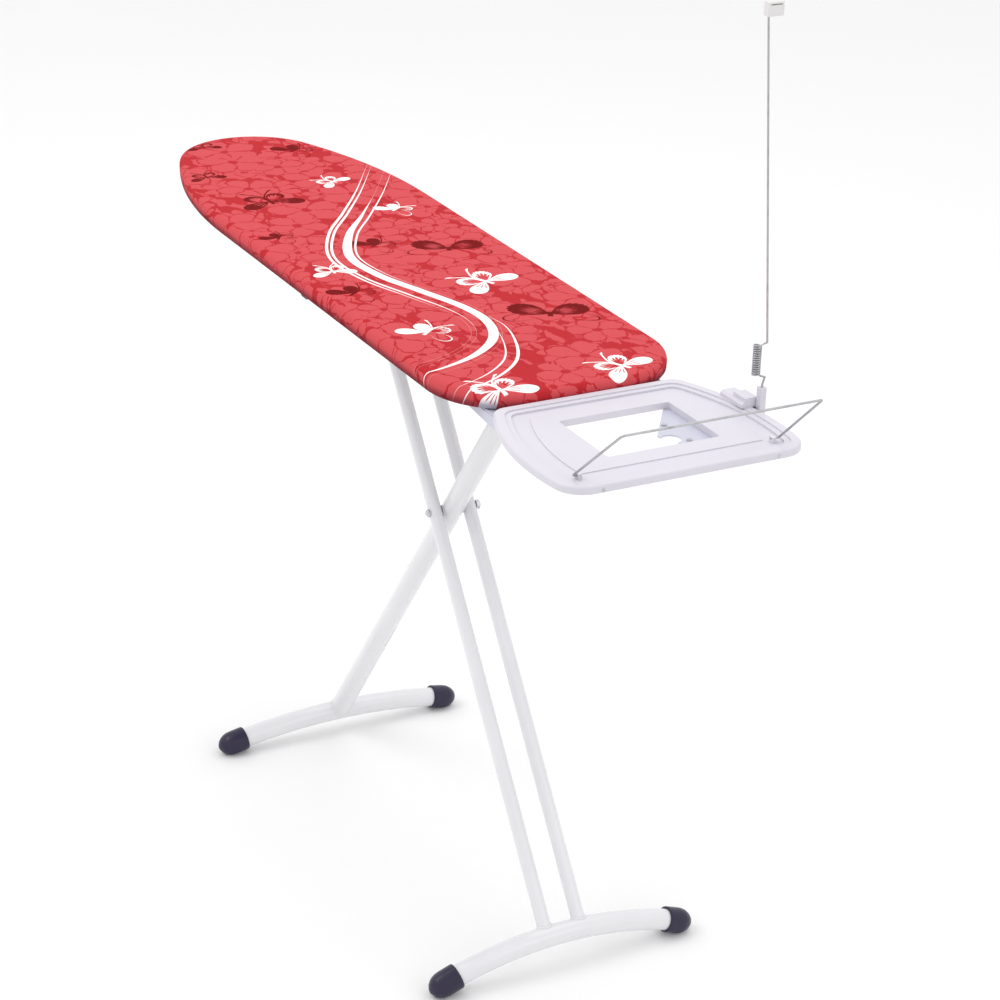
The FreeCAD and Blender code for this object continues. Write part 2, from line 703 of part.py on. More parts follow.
def make_rails():
    """Two lipped channel rails that guide the slide blocks under the panel."""
    inside = dim("block_half_height") + dim("block_clearance")
    wall = dim("rail_thick")
    low = HINGE_Z - inside
    high = HINGE_Z + inside
    lip = dim("rail_lip_inner")
    web = dim("rail_web_inner")
    for side_name, side in SIDES.items():
        body = new_body("rail_body_" + side_name)
        shape = sketch_on(body, "YZ_Plane", "rail_profile_" + side_name)
        outline = [
            (lip, low - wall), (web + wall, low - wall), (web + wall, CORE_BASE - wall),
            (web + 17.0, CORE_BASE - wall), (web + 17.0, CORE_BASE), (web, CORE_BASE), (web, high + wall),
            (lip, high + wall), (lip, high), (web, high), (web, low), (lip, low)]
        polyline(shape, [(y * side, z) for y, z in outline])
        pad(body, "rail_extrusion_" + side_name, shape, dim("rail_length"))
        holes = sketch_on(body, "XY_Plane", "rail_screws_" + side_name, CORE_BASE - wall)
        for x in (20.0, 200.0, 380.0):
            circle(holes, x, (web + 10.0) * side, dim("screw_hole_radius"))
        pocket(body, "rail_screw_holes_" + side_name, holes, wall, upward=True)
        keep(put(body, END_X + dim("rail_rear_x")), "track_rail_" + side_name)


def make_guide_rod():
    """Round rod that the brake plates grip, in two plastic holders."""
    length = dim("rod_front_x") - dim("rod_rear_x")
    rod = cylinder("guide_rod_cylinder", dim("rod_radius"), (END_X + dim("rod_rear_x"), 0, ROD_Z), length, "X")
    keep(rod, "guide_rod")
    for name, x in (("front", dim("rod_front_x") - 10.0), ("rear", dim("rod_rear_x"))):
        block = box("rod_holder_block_" + name, (0, -17, ROD_Z - 7.0), (10, 17, CORE_BASE))
        hole = cylinder("rod_holder_hole_" + name, dim("rod_radius"), (-1, 0, ROD_Z), 12, "X")
        keep(put(cut("rod_holder_cut_" + name, block, hole), END_X + x), "rod_holder_" + name)


def make_carriage():
    """Sliding carriage: cross axle, two slide blocks, brake housing and brake plates."""
    x = END_X + REAR_PIVOT_X
    half = dim("axle_half_length")
    axle = cylinder("carriage_axle_cylinder", dim("axle_radius"), (x, -half, HINGE_Z), half * 2, "Y")
    keep(axle, "carriage_axle")
    for side_name, side in SIDES.items():
        body = new_body("slide_block_body_" + side_name)
        face = sketch_on(body, "XZ_Plane", "block_face_" + side_name, -side * size(44.0))
        reach = dim("block_half_length")
        rise = dim("block_half_height")
        polyline(face, [
            (-reach, -rise + 3.0), (-reach + 3.0, -rise), (reach - 3.0, -rise), (reach, -rise + 3.0),
            (reach, rise - 3.0), (reach - 3.0, rise), (-reach + 3.0, rise), (-reach, rise - 3.0)])
        circle(face, 0, 0, dim("axle_radius"))
        block = pad(body, "block_" + side_name, face, 14.0)
        block.Reversed = side > 0
        keep(put(body, x, 0, HINGE_Z), "slide_block_" + side_name)
    body = new_body("carriage_housing_body")
    face = sketch_on(body, "XZ_Plane", "housing_face")
    polyline(face, [
        (-24.0, -11.0), (9.0, -11.0), (13.0, -7.0), (13.0, 17.0), (9.0, 20.5), (-24.0, 20.5)])
    pad(body, "housing_block", face, 34.0, middle=True)
    across = sketch_on(body, "XZ_Plane", "housing_axle_hole")
    circle(across, 0, 0, dim("axle_radius"))
    pocket(body, "housing_axle_bore", across, 60.0, middle=True)
    along = sketch_on(body, "YZ_Plane", "housing_rod_hole")
    circle(along, 0, dim("rod_rise"), dim("rod_radius") + 0.4)
    pocket(body, "housing_rod_bore", along, 80.0, middle=True)
    slot = sketch_on(body, "XZ_Plane", "housing_slot_plan")
    rectangle(slot, (-20.0, -5.0), (-9.0, 22.0))
    pocket(body, "housing_slot", slot, 26.0, middle=True)
    shelf = sketch_on(body, "XZ_Plane", "housing_lug_plan", 12.0)
    polyline(shelf, [
        (-42.0, -15.0), (-37.5, -15.0), (-37.5, -6.0), (-32.5, -6.0), (-32.5, -15.0),
        (-24.0, -15.0), (-24.0, 4.0), (-38.0, 4.0), (-42.0, 0.0)])
    pad(body, "housing_lugs", shelf, 10.0, middle=True)
    pin_hole = sketch_on(body, "YZ_Plane", "housing_pin_hole", -45.0)
    circle(pin_hole, -12.0, -dim("lever_drop") + 6.5, 2.0)
    pocket(body, "housing_pin_bore", pin_hole, 19.0, upward=True)
    chamber = sketch_on(body, "YZ_Plane", "housing_spring_hole", -10.0)
    circle(chamber, 0, dim("rod_rise"), 6.4)
    pocket(body, "housing_spring_bore", chamber, 18.0, upward=True)
    keep(put(body, x, 0, HINGE_Z), "carriage_housing")
    make_brake_spring(x)
    plates = []
    for number in range(2):
        left = -18.0 + 4.5 * number
        plate = box("brake_plate_%d" % number, (left, -11.0, -4.0), (left + 2.5, 11.0, 19.5))
        at = (left - 1.0, 0, dim("rod_rise"))
        hole = cylinder("brake_hole_%d" % number, dim("rod_radius") + 0.2, at, 5.0, "X")
        plates.append(cut("brake_plate_cut_%d" % number, plate, hole))
    keep(put(group("brake_plate_group", plates), x, 0, HINGE_Z), "brake_plates")


def make_brake_spring(x):
    """Compression spring round the rod that keeps the brake plates tilted."""
    body = new_body("brake_spring_body")
    section = sketch_on(body, "XZ_Plane", "brake_spring_section")
    circle(section, 5.4, 0, 0.6)
    coil = body.newObject("PartDesign::AdditiveHelix", "brake_spring_coil")
    coil.Profile = section
    coil.ReferenceAxis = (section, ["V_Axis"])
    coil.Mode = 0
    bind(coil, "Pitch", 3.0)
    bind(coil, "Height", 15.0)
    doc.recompute()
    keep(put(body, x - 9.0, 0, ROD_Z, Rotation(Vector(0, 1, 0), 90)), "brake_spring")


def make_lever():
    """Release lever: a steel strip under the rails, its plastic grip, and its pivot pin."""
    x = END_X + REAR_PIVOT_X - 24.0
    z = HINGE_Z - dim("lever_drop")
    body = new_body("release_lever_body")
    plan = sketch_on(body, "XY_Plane", "lever_plan")
    reach = dim("lever_reach")
    polyline(plan, [
        (-18.0, 2.0), (-4.0, 2.0), (-4.0, -26.0), (-1.0, -44.0),
        (-1.0, -reach), (-21.0, -reach), (-21.0, -44.0), (-18.0, -26.0)])
    pad(body, "lever_strip", plan, 2.5)
    tab = sketch_on(body, "YZ_Plane", "lever_tab_plan", -11.0)
    polyline(tab, [(-17.0, 0.0), (-7.0, 0.0), (-7.0, 8.0), (-9.0, 10.5), (-15.0, 10.5), (-17.0, 8.0)])
    pad(body, "lever_tab", tab, 2.5, middle=True)
    hole = sketch_on(body, "YZ_Plane", "lever_hole_plan", -11.0)
    circle(hole, -12.0, 6.5, 2.05)
    pocket(body, "lever_hole", hole, 8.0, middle=True)
    keep(put(body, x, 0, z), "release_lever")
    grip = new_body("lever_grip_body")
    inside = dim("grip_socket_depth")
    face = sketch_on(grip, "XZ_Plane", "grip_face", reach - inside)
    polyline(face, [
        (-23.5, -2.6), (-20.0, -4.2), (-2.0, -4.2), (1.5, -2.6),
        (1.5, 5.0), (-2.0, 6.6), (-20.0, 6.6), (-23.5, 5.0)])
    pad(grip, "grip_block", face, dim("grip_length"))
    socket = sketch_on(grip, "XZ_Plane", "grip_socket", reach - inside)
    rectangle(socket, (-21.0, 0.0), (-1.0, 2.5))
    pocket(grip, "grip_socket_cut", socket, inside, upward=True)
    keep(put(grip, x, 0, z), "lever_grip")
    pin = cylinder("lever_pin_cylinder", 2.0, (x - 18.0, -12.0, z + 6.5), 16.0, "X")
    keep(pin, "lever_pin")


# ---------------------------------------------------------------- iron rest

def rest_outline(sketch, x_in, x_out, inset):
    """The rest's plan: straight inner and outer edges, bowed sides, square corners."""
    radius = dim("rest_side_radius") - inset
    centre_x = dim("rest_side_x")
    centre_y = dim("rest_side_y")
    x_in, x_out = size(x_in), size(x_out)
    ends = []
    for x in (x_in, x_out):
        ends.append(math.sqrt(radius.number ** 2 - (x.number - centre_x.number) ** 2) - centre_y.number)
    inner = sketch.addGeometry(Part.LineSegment(flat(x_in, ends[0]), flat(x_in, -ends[0])))
    near = sketch.addGeometry(Part.ArcOfCircle(
        Part.Circle(flat(centre_x, centre_y), Vector(0, 0, 1), radius.number),
        math.atan2(-ends[0] - centre_y.number, x_in.number - centre_x.number),
        math.atan2(-ends[1] - centre_y.number, x_out.number - centre_x.number)))
    outer = sketch.addGeometry(Part.LineSegment(flat(x_out, -ends[1]), flat(x_out, ends[1])))
    far = sketch.addGeometry(Part.ArcOfCircle(
        Part.Circle(flat(centre_x, -centre_y), Vector(0, 0, 1), radius.number),
        math.atan2(ends[1] + centre_y.number, x_out.number - centre_x.number),
        math.atan2(ends[0] + centre_y.number, x_in.number - centre_x.number)))
    ring = [inner, near, outer, far]
    for index, item in enumerate(ring):
        sketch.addConstraint(Sketcher.Constraint("Coincident", item, 2, ring[(index + 1) % 4], 1))
    for item, x in ((inner, x_in), (outer, x_out)):
        sketch.addConstraint(Sketcher.Constraint("Vertical", item))
        index = sketch.addConstraint(Sketcher.Constraint("DistanceX", -1, 1, item, 1, x.number))
        sketch.setExpression("Constraints[%d]" % index, x.text)
    for item, side in ((near, 1), (far, -1)):
        fix_point(sketch, item, 3, centre_x, centre_y * side)
        fix_radius(sketch, item, radius)


def window(sketch, grow):
    """The rectangular window of the rest, made larger all round."""
    half = dim("window_half_width") + grow
    middle = dim("window_centre_y")
    rectangle(sketch, (dim("window_near_x") - grow, middle - half), (dim("window_far_x") + grow, middle + half))


ARM_SCREWS = [(122.0, 58.0), (184.0, 62.0)]
REST_SCREWS = [(118.0, 106.0), (60.0, -118.0), (150.0, -118.0), (225.0, -118.0)]
BOARD_END_SCREWS = [(-104.0, 100.0), (-76.0, 112.0)]


def recess_step(body, name, inset, depth, corner):
    """Sink the tray inside its rim and round the corners of the sunk field."""
    plan = sketch_on(body, "XY_Plane", name + "_plan", RIM_Z)
    rest_outline(plan, inset + dim("rest_inner_gap"), dim("rest_depth") - inset, inset)
    sunk = pocket(body, name, plan, depth)
    floor_z = (RIM_Z - depth).number

    def field_corner(edge):
        return upright(edge) and abs(edge.BoundBox.ZMin - floor_z) < 0.01 and edge.BoundBox.ZLength < 6

    return fillet(body, name + "_corners", sunk, edges_where(sunk.Shape, field_corner), corner)


def make_iron_rest():
    """Moulded tray: rounded rim, stepped field with a raised panel, a window and a hollow underside."""
    body = new_body("iron_rest_body")
    base = RIM_Z - dim("rest_skirt")
    floor = RIM_Z - dim("rest_recess")
    wall = dim("rest_wall")
    plan = sketch_on(body, "XY_Plane", "rest_plan", base)
    rest_outline(plan, dim("rest_inner_gap"), dim("rest_depth"), size(0))
    block = pad(body, "rest_block", plan, dim("rest_skirt"))
    outer = edges_where(block.Shape, lambda edge: upright(edge) and edge.BoundBox.XMin > 200)
    corners = fillet(body, "rest_outer_corners", block, outer, dim("rest_outer_corner"))
    inner = edges_where(corners.Shape, lambda edge: upright(edge) and edge.BoundBox.XMin < 5)
    corners = fillet(body, "rest_inner_corners", corners, inner, dim("rest_inner_corner"))
    rim = edges_where(corners.Shape, at_height(RIM_Z.number))
    fillet(body, "rest_rim_rounding", corners, rim, dim("rest_rim_round"))
    ledge = dim("rest_rim_width") + dim("rest_ledge_width")
    recess_step(body, "rest_ledge", dim("rest_rim_width"), dim("rest_ledge_drop"), 24.0)
    recess_step(body, "rest_recess", ledge, dim("rest_recess"), 16.0)
    raised = sketch_on(body, "XY_Plane", "rest_panel_plan", floor)
    rest_outline(raised, dim("rest_panel_near_x"), dim("rest_panel_far_x"), dim("rest_panel_inset"))
    pad(body, "rest_panel", raised, dim("rest_panel_rise"))
    hollow = sketch_on(body, "XY_Plane", "rest_hollow_plan", base)
    rest_outline(hollow, wall + 9.0, dim("rest_depth") - wall - 8.0, wall + 8.0)
    pocket(body, "rest_hollow", hollow, dim("rest_skirt") - dim("rest_recess") - wall, upward=True)
    frame_base = UNDERSIDE + 0.2
    frame_plan = sketch_on(body, "XY_Plane", "rest_window_frame_plan", frame_base)
    window(frame_plan, wall)
    pad(body, "rest_window_frame", frame_plan, floor - wall - UNDERSIDE)
    opening = sketch_on(body, "XY_Plane", "rest_window_plan", frame_base)
    window(opening, 0)
    cut_through = pocket(body, "rest_window", opening, RIM_Z - UNDERSIDE, upward=True)

    def window_corner(edge):
        centre = edge.CenterOfMass
        xs = (DIMENSIONS["window_near_x"], DIMENSIONS["window_far_x"])
        on_x = min(abs(centre.x - x) for x in xs) < 0.01
        across = abs(centre.y - DIMENSIONS["window_centre_y"])
        return upright(edge) and on_x and abs(across - DIMENSIONS["window_half_width"]) < 0.01

    edges = edges_where(cut_through.Shape, window_corner)
    fillet(body, "rest_window_corners", cut_through, edges, dim("window_corner"))
    bosses = sketch_on(body, "XY_Plane", "rest_boss_plan", UNDERSIDE)
    for x, y in REST_SCREWS:
        circle(bosses, x, y, dim("rest_boss_radius"))
    pad(body, "rest_bosses", bosses, floor - UNDERSIDE)
    keep(put(body, END_X), "iron_rest")


def make_brackets():
    """Two pressed steel plates that carry the rest under the end of the board."""
    plate = dim("plate_thick")
    z = UNDERSIDE - plate
    body = new_body("far_bracket_body")
    plan = sketch_on(body, "XY_Plane", "far_bracket_plan", z)
    polyline(plan, [
        (-112.0, 92.0), (20.0, 92.0), (46.0, 105.0), (150.0, 31.0), (160.0, 33.0), (192.0, 50.0), (200.0, 62.0),
        (200.0, 150.0), (-112.0, 140.0)])
    pad(body, "far_bracket_plate", plan, plate)
    notch = sketch_on(body, "XY_Plane", "far_bracket_notch_plan", z)
    circle(notch, 168.0, 42.0, 15.0)
    circle(notch, -20.0, 116.0, 12.0)
    pocket(body, "far_bracket_notch", notch, plate, upward=True)
    holes = sketch_on(body, "XY_Plane", "far_bracket_hole_plan", z)
    for x, y in ARM_SCREWS + REST_SCREWS[:1] + BOARD_END_SCREWS:
        circle(holes, x, y, dim("screw_hole_radius"))
    pocket(body, "far_bracket_holes", holes, plate, upward=True)
    rib = sketch_on(body, "XZ_Plane", "far_bracket_rib_plan", -142.0)
    polyline(rib, [
        (-112.0, z), (200.0, z), (200.0, z - 7.0), (120.0, z - 16.0), (-20.0, z - 16.0), (-112.0, z - 7.0)])
    pad(body, "far_bracket_rib", rib, plate, middle=True)
    keep(put(body, END_X), "rest_bracket_far")
    body = new_body("near_bracket_body")
    plan = sketch_on(body, "XY_Plane", "near_bracket_plan", z)
    polyline(plan, [(-112.0, -142.0), (240.0, -142.0), (240.0, -104.0), (-112.0, -92.0)])
    pad(body, "near_bracket_plate", plan, plate)
    holes = sketch_on(body, "XY_Plane", "near_bracket_hole_plan", z)
    for x, y in REST_SCREWS[1:] + [(x, -y) for x, y in BOARD_END_SCREWS]:
        circle(holes, x, y, dim("screw_hole_radius"))
    circle(holes, 0.0, -118.0, 11.0)
    pocket(body, "near_bracket_holes", holes, plate, upward=True)
    rib = sketch_on(body, "XZ_Plane", "near_bracket_rib_plan", 142.0)
    polyline(rib, [
        (-112.0, z), (240.0, z), (240.0, z - 7.0), (120.0, z - 16.0), (-20.0, z - 16.0), (-112.0, z - 7.0)])
    pad(body, "near_bracket_rib", rib, plate, middle=True)
    keep(put(body, END_X), "rest_bracket_near")


def screw(name, x, y, head_top, shank):
    """Pan-head screw that points up, with its head under the plate."""
    head = cylinder(name + "_head", 4.2, (x, y, size(head_top) - 2.4), 2.4)
    shaft = cylinder(name + "_shank", 2.0, (x, y, size(head_top) - 1.0), size(shank) + 1.0)
    return fuse(name, [head, shaft])


def make_screws():
    """Self-tapping screws of the rest, the rails and the hinge ears."""
    z = UNDERSIDE - dim("plate_thick")
    rest = [screw("rest_screw_%d" % n, x, y, z, 9.5) for n, (x, y) in enumerate(REST_SCREWS)]
    for number, (x, y) in enumerate(ARM_SCREWS):
        head = cylinder("arm_head_%d" % number, 4.2, (x, y, UNDERSIDE), 2.4)
        shaft = cylinder("arm_shank_%d" % number, 2.0, (x, y, z - 3.0), dim("plate_thick") + 4.0)
        rest.append(fuse("arm_screw_%d" % number, [head, shaft]))
    keep(put(group("rest_screw_group", rest), END_X), "rest_screws")
    board = []
    rail_z = CORE_BASE - dim("rail_thick")
    ear_z = CORE_BASE - dim("plate_thick")
    for side_name, side in SIDES.items():
        for n, (x, y) in enumerate(BOARD_END_SCREWS):
            board.append(screw("bracket_screw_%s%d" % (side_name, n), x, y * side, z, 13.0))
        rail_y = (dim("rail_web_inner") + 10.0) * side
        for n, x in enumerate((20.0, 200.0, 380.0)):
            name = "rail_screw_%s%d" % (side_name, n)
            board.append(screw(name, dim("rail_rear_x") + x, rail_y, rail_z, 11.0))
        ear_y = (dim("ear_inner") + 15.0) * side
        for n, end in enumerate((-1, 1)):
            name = "ear_screw_%s%d" % (side_name, n)
            board.append(screw(name, FRONT_PIVOT_X + 22.0 * end, ear_y, ear_z, 11.0))
    keep(put(group("board_screw_group", board), END_X), "board_screws")


def make_edge_screws():
    """Two small screws in the outer skirt of the rest."""
    screws = []
    edge_x = dim("rest_depth")
    z = RIM_Z - dim("edge_screw_drop")
    for side_name, side in SIDES.items():
        y = dim("edge_screw_y") * side
        head = cylinder("edge_head_" + side_name, 2.6, (edge_x, y, z), 0.8, "X")
        shank = cylinder("edge_shank_" + side_name, 1.4, (edge_x - 5.0, y, z), 5.5, "X")
        screws.append(fuse("edge_screw_" + side_name, [head, shank]))
    keep(put(group("edge_screw_group", screws), END_X), "edge_screws")


# ---------------------------------------------------------------- bail

def make_bail():
    """Wire bail of the rest and the two clips that hold its ends."""
    body = new_body("bail_body")
    path = sketch_on(body, "XY_Plane", "bail_path")
    half = dim("bail_half_width")
    top = dim("bail_top_half_width")
    arm = dim("bail_arm")
    tip = half - dim("bail_hook")
    corners = [(0, -tip), (0, -half), (arm, -top), (arm, top), (0, half), (0, tip)]
    bent_path(path, corners, dim("bail_bend_radius"))
    section = sketch_on(body, "XZ_Plane", "bail_section", tip)
    circle(section, 0, 0, dim("bail_wire_radius"))
    wire = body.newObject("PartDesign::AdditivePipe", "bail_wire_sweep")
    wire.Profile = section
    wire.Spine = (path, [])
    doc.recompute()
    lean = Rotation(Vector(0, 1, 0), -DIMENSIONS["bail_lean"])
    keep(put(body, END_X + dim("bail_pivot_x"), 0, dim("bail_pivot_height"), lean), "bail_wire")
    base = RIM_Z - dim("rest_recess")
    cap = dim("bail_pivot_height") + dim("bail_clip_cover")
    reach = dim("bail_clip_half_length")
    bore = dim("bail_wire_radius") + dim("running_gap")
    for side_name, side in SIDES.items():
        low = half - 12.5 if side > 0 else -half + 6.5
        block = box("clip_block_" + side_name, (-reach, low, base), (reach, low + 6.0, cap))
        hole = cylinder("clip_hole_" + side_name, bore, (0, low - 1.0, dim("bail_pivot_height")), 12.0, "Y")
        clip = cut("clip_cut_" + side_name, block, hole)
        keep(put(clip, END_X + dim("bail_pivot_x")), "bail_clip_" + side_name)


# ---------------------------------------------------------------- cord holder

def make_mast_mount():
    """Clamp over the rest's far rim and the square socket moulded beside it."""
    half = dim("socket_half_side")
    x, y = dim("mast_x"), dim("mast_y")
    start = dim("clamp_start_x")
    under = RIM_Z - dim("rest_skirt")
    jaw = under - dim("clamp_jaw")
    body = new_body("mast_clamp_body")
    profile = sketch_on(body, "YZ_Plane", "clamp_profile", start)
    polyline(profile, [
        (172.0, RIM_Z), (172.0, RIM_Z + 5.0), (176.0, RIM_Z + 8.0), (196.0, RIM_Z + 8.0), (200.0, RIM_Z + 4.0),
        (200.0, jaw), (174.0, jaw), (174.0, under), (196.5, under), (196.5, RIM_Z)])
    pad(body, "clamp_jaws", profile, x - half - start)
    step = sketch_on(body, "XY_Plane", "clamp_step_plan", RIM_Z + 7.0)
    rectangle(step, (112.0, 177.0), (x - half, 197.0))
    pad(body, "clamp_step", step, 7.0)
    keep(put(body, END_X), "mast_clamp")
    column = new_body("mast_socket_body")
    face = sketch_on(column, "XY_Plane", "socket_face", dim("socket_base_height"))
    rectangle(face, (x - half, y - half), (x + half, y + half))
    tower = pad(column, "socket_column", face, dim("socket_top_height") - dim("socket_base_height"))
    fillet(column, "socket_rounding", tower, edges_where(tower.Shape, upright), 1.6)
    mouth = sketch_on(column, "XY_Plane", "socket_mouth", dim("socket_top_height"))
    circle(mouth, x, y, dim("mast_wire_radius") + dim("running_gap"))
    pocket(column, "socket_bore", mouth, dim("socket_bore_depth"))
    keep(put(column, END_X), "mast_socket")


def mast_frame(obj):
    """Place a piece of the mast: local Z is the coil's axis, local X points to the socket."""
    turn = dim("mast_turn")
    x = END_X + dim("mast_x") - dim("coil_offset") * cosine(turn)
    y = dim("mast_y") - dim("coil_offset") * sine(turn)
    return put(obj, x, y, dim("coil_base_height"), Rotation(Vector(0, 0, 1), DIMENSIONS["mast_turn"]))


def wire_body(name, corners, radius):
    """A wire swept along straight runs in the body's XZ plane, from a level start."""
    body = new_body(name + "_body")
    path = sketch_on(body, "XZ_Plane", name + "_path")
    polyline(path, corners, closed=False)
    section = sketch_on(body, "XY_Plane", name + "_section", corners[0][1])
    circle(section, corners[0][0], 0, radius)
    sweep = body.newObject("PartDesign::AdditivePipe", name + "_sweep")
    sweep.Profile = section
    sweep.Spine = (path, [])
    sweep.Transition = "Round corner"
    doc.recompute()
    return body


def make_mast():
    """Spring-steel mast: a stem in the socket, a tight coil, a long wire and a cord clip."""
    offset = dim("coil_offset")
    coil_r = dim("coil_radius")
    height = dim("coil_pitch") * dim("coil_turns")
    wire_r = dim("mast_wire_radius")
    bend_x = offset + dim("mast_bend")
    mouth = dim("socket_top_height") - dim("coil_base_height")
    stem_base = mouth - dim("socket_bore_depth") + 2.0
    stem_path = [(offset, stem_base), (offset, mouth + 3.0), (bend_x, -1.5), (coil_r + 1.0, 0.0)]
    stem = wire_body("mast_stem", stem_path, wire_r)
    keep(mast_frame(stem), "mast_stem")
    body = new_body("mast_spring_body")
    section = sketch_on(body, "XZ_Plane", "spring_section")
    circle(section, coil_r, 0, dim("coil_wire_radius"))
    coil = body.newObject("PartDesign::AdditiveHelix", "spring_coil")
    coil.Profile = section
    coil.ReferenceAxis = (section, ["V_Axis"])
    coil.Mode = 0
    bind(coil, "Pitch", dim("coil_pitch"))
    bind(coil, "Height", height)
    doc.recompute()
    keep(mast_frame(body), "mast_spring")
    top_x = offset - dim("mast_top_shift")
    top_z = dim("mast_top_height") - dim("coil_base_height")
    wire_path = [(top_x, top_z), (bend_x, height + 3.0), (coil_r + 3.2, height + 1.0)]
    wire = wire_body("mast_wire", wire_path, wire_r)
    keep(mast_frame(wire), "mast_wire")
    make_cord_clip()


def make_cord_clip():
    """Plastic clip on the mast's tip: a block with a slot that pinches the iron's lead."""
    turn = dim("mast_turn")
    along = -dim("mast_top_shift")
    x = dim("mast_x") + along * cosine(turn)
    y = dim("mast_y") + along * sine(turn)
    width, depth, height = dim("clip_width"), dim("clip_depth"), dim("clip_height")
    near = dim("clip_near_wall")
    body = new_body("cord_clip_body")
    plan = sketch_on(body, "XY_Plane", "clip_plan")
    rectangle(plan, (-width / 2, -near), (width / 2, depth - near))
    block = pad(body, "clip_block", plan, height)
    fillet(body, "clip_rounding", block, edges_where(block.Shape, upright), 1.2)
    slot = sketch_on(body, "XZ_Plane", "clip_slot_plan", near - depth - 1.0)
    rectangle(slot, (-1.0, height - 4.0), (width, height - 2.4))
    pocket(body, "clip_slot", slot, depth - 3.0, upward=True)
    hole = sketch_on(body, "XY_Plane", "clip_hole_plan")
    circle(hole, 0, 0, dim("mast_wire_radius") + 0.9)
    pocket(body, "clip_hole", hole, dim("clip_grip_depth"), upward=True)
    keep(put(body, END_X + x, y, dim("mast_top_height") - dim("clip_grip_depth")), "cord_clip")


make_core()
make_padding()
make_cover()
make_hem_elastic()
make_rails()
make_guide_rod()
make_hinge()
make_legs()
make_crossing()
make_carriage()
make_lever()
make_iron_rest()
make_brackets()
make_screws()
make_edge_screws()
make_bail()
make_mast_mount()
make_mast()
doc.recompute()

for item in doc.Objects:
    if "Invalid" in item.State or "Error" in item.State:
        raise RuntimeError("%s is %s" % (item.Label, item.State))
for part in parts:
    if part.Shape.isNull() or not part.Shape.isValid() or part.Shape.Volume <= 0:
        raise RuntimeError("%s has a bad shape" % part.Label)

os.makedirs("parts", exist_ok=True)
for part in parts:
    part.Shape.exportStep("parts/%s.step" % part.Label)
whole = FreeCAD.BoundBox()
for part in parts:
    whole.add(part.Shape.BoundBox)
print("parts", len(parts), "box", whole)
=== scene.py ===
"""Looks of the folding ironing board: fabric cover and padding, hem, coil, welds, paint, wire and plastics.

Everything is in metres in the frame of the CAD model: the wide end of the board faces +X,
its nose faces -X, +Z is up and the floor is z = 0.
"""
import json
import math

import bmesh
import bpy
import numpy as np
from mathutils import Matrix, Vector


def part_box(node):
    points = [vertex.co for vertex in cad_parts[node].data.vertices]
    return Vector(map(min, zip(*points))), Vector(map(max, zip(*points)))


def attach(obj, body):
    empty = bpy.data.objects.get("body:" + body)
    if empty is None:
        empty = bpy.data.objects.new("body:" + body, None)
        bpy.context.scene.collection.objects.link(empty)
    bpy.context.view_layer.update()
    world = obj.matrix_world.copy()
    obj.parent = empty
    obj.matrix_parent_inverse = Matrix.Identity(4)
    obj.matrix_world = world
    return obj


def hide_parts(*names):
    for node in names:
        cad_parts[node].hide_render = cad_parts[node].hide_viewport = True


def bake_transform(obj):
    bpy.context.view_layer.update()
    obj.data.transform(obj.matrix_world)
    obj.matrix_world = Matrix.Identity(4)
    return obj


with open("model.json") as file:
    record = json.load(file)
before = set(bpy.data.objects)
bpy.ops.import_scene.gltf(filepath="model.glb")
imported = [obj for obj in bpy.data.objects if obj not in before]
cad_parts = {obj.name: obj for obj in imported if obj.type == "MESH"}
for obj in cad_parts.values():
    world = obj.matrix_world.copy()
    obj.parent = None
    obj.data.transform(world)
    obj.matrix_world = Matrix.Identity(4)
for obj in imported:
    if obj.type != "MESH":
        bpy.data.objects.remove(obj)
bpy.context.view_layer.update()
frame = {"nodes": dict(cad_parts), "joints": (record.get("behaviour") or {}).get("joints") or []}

# ---------------------------------------------------------------- places and sizes

COVER_LOW, COVER_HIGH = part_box("cover")
WIDE_END = COVER_HIGH.x
TOP = COVER_HIGH.z
UNDERSIDE = COVER_LOW.z
EDGE_DEPTH = TOP - UNDERSIDE
BOARD_LENGTH = COVER_HIGH.x - COVER_LOW.x
HALF_WIDTH = COVER_HIGH.y
NOSE_RADIUS = 0.132
FLANK_RADIUS = 0.908
CORNER_RADIUS = 0.125
HEM_WIDTH = 0.045

# Cover: points round the outline, inner end of the flat top's spine, edge rounding and cloth thickness.
COLUMNS = 620
SPINE_END = -0.19
TOP_ROUND = 0.0105
LOW_ROUND = 0.005
TOP_RINGS = 24
CLOTH_THICKNESS = 0.0009
# Hem: rings of points across it, depth of its puckers and the two lengths of their wave.
HEM_RINGS = 8
PUCKER_DEPTH = 0.0042
PUCKER_LONG = 0.0245
PUCKER_SHORT = 0.0163
# The iron rest covers the hem from here on, so the puckers fade out before it.
REST_START = -0.13
REST_FADE = 0.05
# Mast coil: wire radius, turns, direction of its start, and how far its last part swings out to the mast.
COIL_WIRE = 0.0012
COIL_TURNS = 14
COIL_START = math.radians(61.4)
COIL_LEAD_ANGLE = 1.1
COIL_LEAD_OUT = 0.0034
COIL_LEAD_UP = 0.001
# Welds: bead radius, and for each its foot, leg radius, leg offset, radius of the foot's arc and body.
WELD_BEAD = 0.0022
WELDS = [
    ("weld_rear", "rear", 0.0175, 0.0, 1.087, "rear_leg"),
    ("weld_front_near", "front", 0.011, -0.030, 0.6154, "front_leg"),
    ("weld_front_far", "front", 0.011, 0.030, 0.6154, "front_leg"),
]
WELD_SEARCH_BACK = 0.101
WELD_SEARCH_SPAN = 0.093


# ---------------------------------------------------------------- board outline

def arc(centre, radius, start, stop, steps=240):
    """Points on an arc with their outward directions, as rows x, y, nx, ny."""
    angles = np.linspace(start, stop, steps)
    away = np.stack([np.cos(angles), np.sin(angles)], axis=1)
    return np.hstack([np.array(centre) + radius * away, away])


